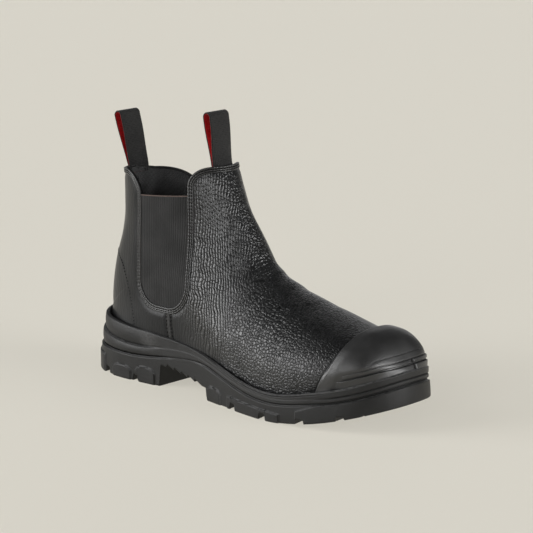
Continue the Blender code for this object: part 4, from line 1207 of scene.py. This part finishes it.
def build_lining():
    """The last's skin moved in by the wall, cut along the same edge: cloth that faces the foot, in soft waves."""
    points, normal, away, turn = upper_skin(LINING_SHAPE, 0.4, -WALL)
    z = points[:, 2]
    waves = 0.5 + 0.5 * np.sin(420 * z + 3.0 * np.sin(9 * turn)) * np.cos(5 * turn + 90 * z)
    folds = 0.0024 * waves + 0.0014 * (0.5 + 0.5 * np.sin(38 * turn + 160 * z))
    folds = folds * smooth_step(away, 0.003, 0.010) * smooth_step(z, 0.11, 0.135)
    points = points - normal * folds[:, None]
    uv = np.column_stack([turn * 0.12, points[:, 2] + points[:, 0] * 0.3])
    faces = split_quads(grid_faces(*LINING_SHAPE))[:, ::-1]
    values, faces = cut_sheet(np.column_stack([points, uv]), faces, away, 0.0003)
    return piece("upper_lining", values, faces, LINING, sharp=1.2, uv=values[:, 3:5])


build_leather()
build_lining()


# Sewn edges and seams


def even_path(line, side, spacing):
    """Points along a line on the skin, even in length: x and z between the line's points."""
    rows, turns = skin_find(line[:, 0], line[:, 1], side)
    points = skin(rows, turns)
    length = np.concatenate([[0.0], np.cumsum(np.linalg.norm(np.diff(points, axis=0), axis=1))])
    at = np.linspace(0.0, length[-1], max(4, int(length[-1] / spacing)))
    return np.column_stack([np.interp(at, length, line[:, 0]), np.interp(at, length, line[:, 1])])


def path_frame(line, side):
    """Points of a line on the skin, the skin's normal, and the way across to the leather."""
    rows, turns = skin_find(line[:, 0], line[:, 1], side)
    points = skin(rows, turns)
    normal = skin_normal(rows, turns)
    along = unit(np.gradient(points, axis=0))
    across = unit(np.cross(along, normal) if side < 0 else np.cross(normal, along))
    return points, normal, across


def on_skin(points, normal, across, inward, side):
    """Points moved inward from a line. Where the skin faces the side, y is taken from the skin again."""
    moved = points + across * inward
    rows, turns = skin_find(moved[:, 0], moved[:, 2], side)
    facing = smooth_step(np.abs(normal[:, 1]), 0.45, 0.75)
    moved[:, 1] += facing * (skin(rows, turns)[:, 1] - moved[:, 1])
    return moved


def seam_strip(name, line, side, profile, pull, dull):
    """A profile carried along a line on the skin: way inward and height over the skin at each of its points.

    The stitches pull its ridges down by a share of their height, as a cosine along the line.
    """
    count = len(even_path(line, side, STITCH_PITCH))
    line = even_path(line, side, SEAM_SPACING)
    points, normal, across = path_frame(line, side)
    phase = np.linspace(0.0, 2 * math.pi * (count - 1), len(line))
    pucker = (1 - pull * np.cos(phase))[:, None]
    rows = [on_skin(points, normal, across, inward, side) + normal * height * (pucker if height > 0 else 1.0)
            for inward, height in profile]
    grid = np.stack(rows, axis=1)
    faces = grid_faces(*grid.shape[:2])
    height = np.array(profile)[:, 1]
    # Painted shade where the profile sinks below the skin; dull lays a share of the same darkening over the whole
    # strip.
    dark = np.maximum(smooth_step(-height, 0.0, 0.0004), dull)
    dark = np.broadcast_to(dark, grid.shape[:2]).reshape(-1)
    return piece(name, grid.reshape(-1, 3), faces if side < 0 else faces[:, ::-1], EDGE_LEATHER, sharp=1.3,
                 marks={"groove": dark})


def stitch_places(line, side, inward, height):
    """Middle, way along and normal of each stitch of a row beside a line."""
    points, normal, across = path_frame(even_path(line, side, STITCH_PITCH), side)
    middle = on_skin(points, normal, across, inward, side) + normal * height
    way = unit(np.gradient(middle, axis=0))
    return np.concatenate([middle, way, normal], axis=1)


def build_stitches(name, places, material):
    """Stitches as short closed beads: round across, drawn to points along, sinking at both ends."""
    angle = np.linspace(0.0, 2 * math.pi, 7)[:-1]
    along = np.linspace(-1.0, 1.0, 7)
    thick = STITCH_RADIUS * np.sqrt(np.clip(1 - along**4, 0.0, 1.0))
    sink = -STITCH_SINK * along**2
    middle, way, normal = places[:, None, None, :3], places[:, None, None, 3:6], places[:, None, None, 6:]
    aside = np.cross(way, normal)
    a = along[None, :, None, None]
    r = thick[None, :, None, None]
    grid = (middle + way * a * STITCH_LENGTH / 2 + normal * (sink[None, :, None, None] + r * np.sin(angle)[:, None])
            + aside * r * np.cos(angle)[:, None])
    count, rows, around = grid.shape[:3]
    one = grid_faces(rows, around, wrap=True)[:, ::-1]
    faces = (one[None] + np.arange(count)[:, None, None] * rows * around).reshape(-1, 4)
    values, faces = merge_points(grid.reshape(-1, 3), faces, VERY_NEAR)
    return piece(name, values, faces, material, sharp=1.5)


def build_seams():
    """The sewn edge and the two seams on either side, and all their stitches."""
    places = []
    for side, word in ((-1, "outer"), (1, "inner")):
        line = collar_line(side)
        seam_strip("sewn_edge_" + word, line, side, SEWN_EDGE, 0.45, 0.0)
        places += [stitch_places(line, side, inward, -0.0001) for inward in SEWN_EDGE_ROWS]
        path = np.array(SIDE_SEAM_PATH)
        z = np.linspace(path[0, 1], path[-1, 1], 30)
        line = np.column_stack([natural_spline(path[::-1, 1], path[::-1, 0], z), z])
        seam_strip("side_seam_" + word, line, side, SIDE_SEAM, 0.0, 0.55)
        places += [stitch_places(line, side, inward, -0.0002) for inward in SIDE_SEAM_ROWS]
        path = np.array(COUNTER_PATH)
        share = np.linspace(0.0, 1.0, len(path))
        at = np.linspace(0.0, 1.0, 60)
        line = np.column_stack([natural_spline(share, path[:, i], at) for i in (0, 1)])
        places.append(stitch_places(line, side, 0.0, -0.0001))
    build_stitches("seam_stitches", np.concatenate(places), THREAD)


build_seams()


# Elastic panels


def build_gore(side, word):
    """Elastic panel: a sheet sunk under the skin, reaching behind the sewn edge, with a ribbed face."""
    u, v = np.meshgrid(*(np.linspace(0.0, 1.0, count) for count in GORE_SHAPE), indexing="ij")
    reach = 0.0035
    x = WINDOW_BACK - reach + (WINDOW_FRONT - WINDOW_BACK + 2 * reach) * u
    share = (x - WINDOW_BACK) / (WINDOW_FRONT_TOP - WINDOW_BACK)
    top = GORE_TOP_BACK + (GORE_TOP_FRONT - GORE_TOP_BACK) * share
    z = WINDOW_BOTTOM - reach + (top - WINDOW_BOTTOM + reach) * v
    row, turn = skin_find(x.reshape(-1), z.reshape(-1), side)
    normal = skin_normal(row, turn)
    face = skin(row, turn) - normal * GORE_SINK
    uv = np.column_stack([x.reshape(-1), z.reshape(-1)])
    faces = grid_faces(*GORE_SHAPE)
    made = piece("elastic_" + word, face, faces if side > 0 else faces[:, ::-1], ELASTIC, "gore_" + word,
                 sharp=1.2, uv=uv)
    wall = made.modifiers.new("thickness", "SOLIDIFY")
    wall.thickness = GORE_THICK
    wall.offset = -1.0
    seen = (x[:, -1] > WINDOW_BACK - 0.0005) & (x[:, -1] < WINDOW_FRONT_TOP + 0.0015)
    out = normal.reshape(*GORE_SHAPE, 3)[seen, -1]
    edge = face.reshape(*GORE_SHAPE, 3)[seen, -1] - out * GORE_THICK * 0.3
    turn = np.linspace(0.0, 2 * math.pi, 13)[:-1]
    tube = edge[:, None] + out[:, None] * np.cos(turn)[:, None] * TRIM_RADII[0]
    tube[..., 2] += np.sin(turn) * TRIM_RADII[1] + 0.0002
    values, faces = closed_ends(tube[:, ::side])
    piece("elastic_trim_" + word, values, faces, TRIM, sharp=1.5)


build_gore(-1, "outer")
build_gore(1, "inner")


# Toe cap


def edge_rows(turns):
    """Row at which each turn's line over the last crosses the toe cap's back edge."""
    rows = np.linspace(0.5, 5.0, 400)
    row, turn = np.meshgrid(rows, turns, indexing="ij")
    points = skin(row, turn)
    ahead = points[..., 0] - cap_edge_x(points[..., 2])
    crossing = np.clip((ahead > 0).sum(0), 1, len(rows) - 1)
    columns = np.arange(len(turns))
    a = ahead[crossing - 1, columns]
    b = ahead[crossing, columns]
    return rows[crossing - 1] + (rows[crossing] - rows[crossing - 1]) * a / (a - b)


# Ribs of the cap: flat bands by their height over the joint, how far they stand out and where they begin
RIBS = (
    (0.0100, 0.0162, 0.0020, 0.2700),
    (0.0170, 0.0197, 0.0014, 0.2710),
    (0.0202, 0.0246, 0.0008, 0.2740),
)
# Heights of the fine lines between them and of the whole ribbed wall, its foot's inset, and its depths
RIB_LINES = (0.0108, 0.0163, 0.01695, 0.01995, 0.0248)
RIB_LOW = 0.0080
RIB_HIGH = 0.0290
RIM_INSET = 0.0022
RIB_GROUND = 0.0003
RIB_LINE_DEPTH = 0.0008
BLOCK_RAISE = 0.0006
BREAK_DEPTH = 0.0014
BREAK_HALF = 1.30
# Angles in degrees round the toe's centre: of the ribbed wall's ends, and of the breaks beside the raised block
TOE_CENTRE = np.array([0.262, 0.004])
RIB_ENDS = (-92.0, 104.0)
TOE_BLOCK = (9.0, 45.0)


def toe_wall(angle, above):
    """Row and turn of the last at an angle round the toe's centre and a height over the joint.

    The way out from the centre is found by halving: a point is outside once it lies past the skin that has its x
    and height.
    """
    low = np.zeros(angle.shape)
    high = np.full(angle.shape, 0.075)
    for _ in range(TOE_HALVINGS):
        reach = (low + high) / 2
        x = TOE_CENTRE[0] + reach * np.cos(angle)
        aside = reach * np.sin(angle)
        row, turn = skin_find(x, sole_height("joint", x) + above, np.where(aside > 0, 1.0, -1.0))
        found = skin(row, turn)
        outside = (np.abs(aside) > np.abs(found[..., 1] - TOE_CENTRE[1])) | (x > found[..., 0] + 0.00001)
        high = np.where(outside, reach, high)
        low = np.where(outside, low, reach)
    return row, turn


def rim_shortfall():
    """Angles round the toe's centre, and how far the lowest rib's foot falls short of the midsole's rim there."""
    angle = np.radians(np.linspace(-100.0, 110.0, 106))
    row, turn = toe_wall(angle, np.full(angle.shape, 0.0125))
    foot = skin(row, turn) + skin_normal(row, turn) * (CAP_THICK + RIBS[0][2])
    rim = loop_rings(np.full((1, len(LOOP_X)), PAD_HEIGHT + RIM_INSET), 0.0)[0, :, :2] - TOE_CENTRE
    rim_angle = np.arctan2(rim[:, 1], rim[:, 0])
    order = np.argsort(rim_angle)
    from_centre = foot[:, :2] - TOE_CENTRE
    at = np.arctan2(from_centre[:, 1], from_centre[:, 0])
    rim_way = np.interp(at, rim_angle[order], np.hypot(rim[:, 0], rim[:, 1])[order])
    return at, rim_way - np.hypot(from_centre[:, 0], from_centre[:, 1])


RIM_ANGLES, RIM_SHORTFALL = rim_shortfall()


def to_rim(points, above):
    """Points of the toe's wall moved out or in from the toe's centre, so that its foot meets the midsole's rim.

    The move is the shortfall at the point's angle. It fades out upwards and towards the cap's back edge.
    """
    from_centre = points[..., :2] - TOE_CENTRE
    short = np.interp(np.arctan2(from_centre[..., 1], from_centre[..., 0]), RIM_ANGLES, RIM_SHORTFALL)
    share = smooth_step(points[..., 0], 0.262, 0.277) * (1 - smooth_step(above, 0.0120, 0.0230))
    moved = points.copy()
    moved[..., :2] += unit(from_centre) * (short * share)[..., None]
    return moved


def build_toe_cap():
    """Cap over the last: rows from its back edge to the tip, raised from a rounded lip to its full thickness."""
    turn = np.linspace(-1.0, 1.0, CAP_SHAPE[1])
    way = np.linspace(0.0, 1.0, CAP_SHAPE[0])[:, None]
    row = np.maximum(edge_rows(turn) * (1 - (0.35 * way + 0.65 * way**2)), 0.004)
    turn = np.broadcast_to(turn, row.shape)
    base = skin(row, turn)
    normal = skin_normal(row, turn)
    from_edge = np.linalg.norm(np.diff(base, axis=0, prepend=base[:1]), axis=-1).cumsum(0)
    first = 0.60 + 0.20 * (1 - smooth_step(np.abs(turn), 0.06, 0.30))
    lip = smooth_step(from_edge, 0.0, 0.0010) * first + (1 - first) * smooth_step(from_edge, 0.0006, 0.0120)
    crown = (1 - smooth_step(np.abs(turn), 0.24, 0.54)) * smooth_step(row, 0.9, 2.5)
    thick = -0.0012 + (CAP_THICK + 0.0012) * lip + 0.0032 * crown * smooth_step(from_edge, 0.0003, 0.0034)
    points = base + normal * thick[..., None]
    points = to_rim(points, base[..., 2] - sole_height("joint", base[..., 0])).reshape(-1, 3)
    # Painted shade: a dark line along the cap's back edge, where it meets the leather.
    painted_shade = 1 - smooth_step(from_edge, 0.0003, 0.0008)
    values, faces = merge_points(np.column_stack([points, painted_shade.reshape(-1)]), grid_faces(*CAP_SHAPE)[:, ::-1])
    piece("toe_cap_rubber", values, faces, CAP_RUBBER, "toe_cap", sharp=1.0,
          marks={"painted_shade": values[:, 3]})


def build_toe_ribs():
    """Ribs round the toe: a grid of heights over the joint and angles, raised from just under the cap's face.

    Found on a coarse grid and carried to the fine one by splines. The bands have soft edges, fine grooves part them,
    and in front a break on either side sets off a raised block. Painted shade darkens the grooves and the breaks, and
    the bands' edges get a faint pale mark of wear and painted highlight.
    """
    coarse_angle = np.radians(np.linspace(*RIB_ENDS, 99))
    coarse_above = np.linspace(RIB_LOW, RIB_HIGH, 19)
    grid = np.meshgrid(coarse_above, coarse_angle, indexing="ij")
    row, turn = toe_wall(grid[1], grid[0])
    shape = np.concatenate([skin(row, turn), skin_normal(row, turn)], axis=-1)
    fine = [np.linspace(RIB_LOW, RIB_HIGH, 40)] + [at + np.linspace(-0.0006, 0.0006, 13) for at in RIB_LINES]
    above = np.unique(np.round(np.concatenate(fine), 6))
    fine = [np.linspace(*RIB_ENDS, 295)] + [at + np.linspace(-1.2, 1.2, 13) for at in TOE_BLOCK]
    degrees = np.unique(np.round(np.concatenate(fine), 4))
    shape = natural_spline(coarse_above, np.moveaxis(shape, 0, -1).reshape(-1, len(coarse_above)), above)
    shape = natural_spline(np.degrees(coarse_angle), shape.reshape(len(coarse_angle), -1).T, degrees)
    shape = shape.reshape(6, len(above), len(degrees)).T
    points = shape[..., :3]
    x = points[..., 0]
    raised = -RIB_GROUND - 0.0060 * (1 - smooth_step(x, 0.2660, 0.2720)) * np.ones(above.shape)
    for low, high, lift, start in RIBS:
        band = between(above, (low - 0.0003, low + 0.0002), (high - 0.0002, high + 0.0003))
        raised = raised + (lift + RIB_GROUND) * band * smooth_step(x, start, start + 0.012)
    top_band = between(above, (0.0246, 0.0250), (0.0252, 0.0284))
    raised = raised + 0.0006 * top_band * smooth_step(x, 0.277, 0.293)
    lines = np.max([groove(above - at, 0.00032) for at in RIB_LINES], axis=0) * smooth_step(x, 0.270, 0.281)
    degrees = degrees[:, None]
    low_part = between(above, (0.0108, 0.0114), (0.0197, 0.0201))
    breaks = np.max([groove(degrees - at, BREAK_HALF) for at in TOE_BLOCK], axis=0) * low_part
    past = [smooth_step(degrees, at - 0.3, at + 0.3) for at in TOE_BLOCK]
    block = past[0] * (1 - past[1]) * low_part
    raised = raised + BLOCK_RAISE * block - RIB_LINE_DEPTH * lines - BREAK_DEPTH * breaks
    points = points + unit(shape[..., 3:]) * (CAP_THICK + raised)[..., None]
    points = to_rim(points, np.broadcast_to(above, x.shape))
    # Painted shade in the fine lines and the breaks.
    painted_shade = np.maximum(breaks, lines)
    # Faint pale mark on the bands' edges: wear, partly a painted highlight.
    slope = np.abs(np.gradient(raised, axis=1)) / np.gradient(above)
    edge = np.clip(slope, 0.0, 1.0) * 0.10
    faces = grid_faces(*x.shape)
    piece("toe_cap_ribs", points.reshape(-1, 3), faces[:, ::-1], CAP_RUBBER, sharp=1.0,
          marks={"edge": edge.reshape(-1), "painted_shade": painted_shade.reshape(-1)})


build_toe_cap()
build_toe_ribs()


# Pull loops


def wall_line(z, front):
    """x of the upper's inner face at height z, in the middle of the shaft's front or back."""
    names = ("ridge_x", "ridge_z") if front else ("base_x", "base_z")
    return np.interp(z, SKIN[names[1]][BACK_SEAM], SKIN[names[0]][BACK_SEAM]) + (-WALL if front else WALL)


def build_loop(word, values, front):
    """Folded tape: a flat section with rounded edges, carried up from the collar, over the top and down again.

    The middle line leans from the collar to the loop's top while its two legs part softly. Low down the tape bends
    round the shaft: its section sags by the square of the way across.
    """
    collar_z, top_z, top_x, inside, tuck, least = values
    inward = -1.0 if front else 1.0
    low = collar_z - tuck
    close = (WEB_THICK + 0.0003) / 2
    radius = (LOOP_GAP + WEB_THICK) / 2
    height = low + (top_z - radius - low) * np.linspace(0.0, 1.0, 44)
    rise = np.clip((height - collar_z) / (top_z - radius - collar_z), 0.0, 1.0)
    seat = wall_line(np.minimum(height, collar_z), front) + inward * inside
    middle = seat + (top_x - seat) * rise
    thin = least + (1 - least) * smooth_step(height, collar_z - 0.0010, collar_z + 0.0050)
    half_gap = close * thin + (radius - close) * smooth_step(rise, 0.0, 0.9)
    over = np.linspace(math.pi, 0.0, 17)[1:-1]
    x = np.concatenate([middle - half_gap, middle[-1] + radius * np.cos(over), (middle + half_gap)[::-1]])
    z = np.concatenate([height, height[-1] + radius * np.sin(over), height[::-1]])
    bend = np.concatenate([1 - rise, np.zeros(len(over)), (1 - rise)[::-1]])
    thin = np.concatenate([thin, np.ones(len(over)), thin[::-1]])
    path = np.column_stack([x, np.zeros(len(x)), z])
    along = unit(np.gradient(path, axis=0))
    outward = np.column_stack([-along[:, 2], np.zeros(len(x)), along[:, 0]])
    half = WEB_WIDTH / 2
    flat = np.linspace(-half + WEB_EDGE, half - WEB_EDGE, 15)
    turn = np.linspace(-math.pi / 2, math.pi / 2, 5)[1:-1]
    rounded = half - WEB_EDGE + WEB_EDGE * np.cos(turn)
    across = np.concatenate([flat, rounded, flat[::-1], -rounded])
    lift = np.concatenate([np.full(15, -0.5), 0.5 * np.sin(turn), np.full(15, 0.5), -0.5 * np.sin(turn)]) * WEB_THICK
    sag = inward * across[None, :] ** 2 / (2 * LOOP_BEND) * bend[:, None]
    grid = path[:, None] + outward[:, None] * (lift[None, :] * thin[:, None])[..., None]
    grid[..., 0] += sag
    grid[..., 1] += across
    length = np.concatenate([[0.0], np.cumsum(np.linalg.norm(np.diff(path, axis=0), axis=1))])
    lined = np.broadcast_to(smooth_step(-lift, 0.30 * WEB_THICK, 0.49 * WEB_THICK), grid.shape[:2])
    uv = np.stack(np.broadcast_arrays(across[None, :], length[:, None]), axis=-1)
    values, faces = closed_ends(np.concatenate([grid, lined[..., None], uv], axis=-1))
    piece("tape_" + word, values, faces, WEBBING, "pull_loop_" + word, sharp=1.2,
          marks={"inside": values[:, 3]}, uv=values[:, 4:6])


build_loop("back", LOOP_BACK, False)
build_loop("front", LOOP_FRONT, True)


# Insole


def build_insole():
    """Footbed: rows across from heel to toe, its top a little dished and its edges rounded."""
    x = INSOLE_START + (INSOLE_END - INSOLE_START) * (1 - np.cos(np.linspace(0.0, math.pi, INSOLE_SHAPE[0]))) / 2
    from_ends = np.minimum((x - INSOLE_START) / 0.028, (INSOLE_END - x) / 0.034)
    ends = np.sqrt(np.clip(from_ends, 0.0, 1.0))
    outer = (feather_half(x, -1) - INSOLE_INSET) * ends
    inner = (feather_half(x, 1) - INSOLE_INSET) * ends
    turn = np.linspace(0.0, 2 * math.pi, INSOLE_SHAPE[1] + 1)[:-1]
    aside = np.sign(np.cos(turn)) * np.abs(np.cos(turn)) ** 0.35
    lift = 0.5 + 0.5 * np.sign(np.sin(turn)) * np.abs(np.sin(turn)) ** 0.35
    y = (inner - outer)[:, None] / 2 + (inner + outer)[:, None] / 2 * aside
    dish = 0.0006 * aside**2 * lift * ends[:, None]
    z = last_floor(x)[:, None] + INSOLE_THICK * lift + dish
    grid = np.stack([np.broadcast_to(x[:, None], y.shape), y, z], axis=-1)
    values, faces = merge_points(grid.reshape(-1, 3), grid_faces(*INSOLE_SHAPE, wrap=True))
    piece("insole_cloth", values, faces, INSOLE_CLOTH, "insole", sharp=1.2, uv=values[:, :2])


build_insole()


# Floor, light and camera

FLOOR_REACH = 9.0
BACKDROP_RADIUS = 8.9


def stage_sheet(name, points, faces, colour, glow, **values):
    """A plain sheet of the stage with a base colour and an even glow."""
    mesh = bpy.data.meshes.new(name)
    mesh.from_pydata(points.tolist(), [], faces.tolist())
    material, _, _ = new_material("pale_" + name, base_color=colour, emission_color=glow, emission_strength=1.0,
                                  **values)
    mesh.materials.append(material)
    made = bpy.data.objects.new(name, mesh)
    bpy.context.scene.collection.objects.link(made)
    return made


def build_floor():
    """Wide pale floor: a grid that is level all over."""
    x, y = np.meshgrid(np.linspace(-FLOOR_REACH, FLOOR_REACH, 3), np.linspace(-FLOOR_REACH, FLOOR_REACH, 3),
                       indexing="ij")
    points = np.stack([x, y, np.zeros_like(x)], axis=-1).reshape(-1, 3)
    stage_sheet("floor", points, grid_faces(3, 3), (0.27, 0.259, 0.232, 1.0), (0.486, 0.466, 0.411, 1.0),
                roughness=0.9, specular_ior_level=0.1)


def build_backdrop():
    """Pale wall far round the floor: a ring of columns carried up. Only the camera sees it, so it lights nothing."""
    turn = np.linspace(0.0, 2 * math.pi, 97)[:-1]
    x, y = np.cos(turn) * BACKDROP_RADIUS, np.sin(turn) * BACKDROP_RADIUS
    points = np.concatenate([np.column_stack([x, y, np.full(96, z)]) for z in (-0.1, FLOOR_REACH)])
    made = stage_sheet("backdrop", points, grid_faces(2, 96, wrap=True)[:, ::-1], (0.0, 0.0, 0.0, 1.0),
                       (0.679, 0.650, 0.577, 1.0), roughness=1.0, specular_ior_level=0.0)
    made.visible_diffuse = made.visible_glossy = made.visible_shadow = made.visible_transmission = False


AZIMUTH = math.radians(42.3)
ELEVATION = math.radians(12.6)
DISTANCE = 1.900
TARGET = np.array([0.012, 0.0012, 0.102])
LENS = 166.45
TO_CAMERA = np.array([math.sin(AZIMUTH) * math.cos(ELEVATION), -math.cos(AZIMUTH) * math.cos(ELEVATION),
                      math.sin(ELEVATION)])
TO_RIGHT = np.array([math.cos(AZIMUTH), math.sin(AZIMUTH), 0.0])


def look_from(item, place, target):
    """Places a camera or light and turns it to look at a target."""
    item.location = place
    item.rotation_euler = Vector(target - np.asarray(place)).to_track_quat("-Z", "Y").to_euler()


def build_camera():
    """The camera at the photo's angle, by its azimuth and elevation round the target."""
    data = bpy.data.cameras.new("camera")
    data.lens = LENS
    data.sensor_width = 36.0
    camera = bpy.data.objects.new("camera", data)
    bpy.context.scene.collection.objects.link(camera)
    look_from(camera, TARGET + TO_CAMERA * DISTANCE, TARGET)
    bpy.context.scene.camera = camera


# Lights: degrees to the right of the camera and above the floor, spread in degrees, power
LIGHTS = (
    (-88.0, 6.0, 44.0, 3.2),
    (-88.0, 34.0, 36.0, 1.0),
    (-30.0, 4.0, 36.0, 1.1),
    (-30.0, 26.0, 34.0, 0.35),
    (64.0, 2.0, 48.0, 5.0),
    (176.0, 10.0, 36.0, 0.26),
)
SKY = 0.08


def build_lights():
    """Far soft lights, by their angle to the right of the camera and above the floor, and a dim even sky."""
    ahead = np.array([TO_CAMERA[0], TO_CAMERA[1], 0.0]) / math.cos(ELEVATION)
    up = np.array([0.0, 0.0, 1.0])
    for i, (azimuth, elevation, spread, power) in enumerate(LIGHTS):
        turn, rise = math.radians(azimuth), math.radians(elevation)
        way = (TO_RIGHT * math.sin(turn) + ahead * math.cos(turn)) * math.cos(rise) + up * math.sin(rise)
        data = bpy.data.lights.new(f"soft_light_{i}", "SUN")
        data.angle = math.radians(spread)
        data.energy = power
        lamp = bpy.data.objects.new(f"soft_light_{i}", data)
        bpy.context.scene.collection.objects.link(lamp)
        look_from(lamp, way, np.zeros(3))
    world = bpy.data.worlds.new("studio")
    world.use_nodes = True
    world.node_tree.nodes["Background"].inputs["Color"].default_value = (1.0, 0.99, 0.975, 1.0)
    world.node_tree.nodes["Background"].inputs["Strength"].default_value = SKY
    bpy.context.scene.world = world
    bpy.context.scene.view_settings.view_transform = "Standard"


build_floor()
build_backdrop()
build_camera()
build_lights()
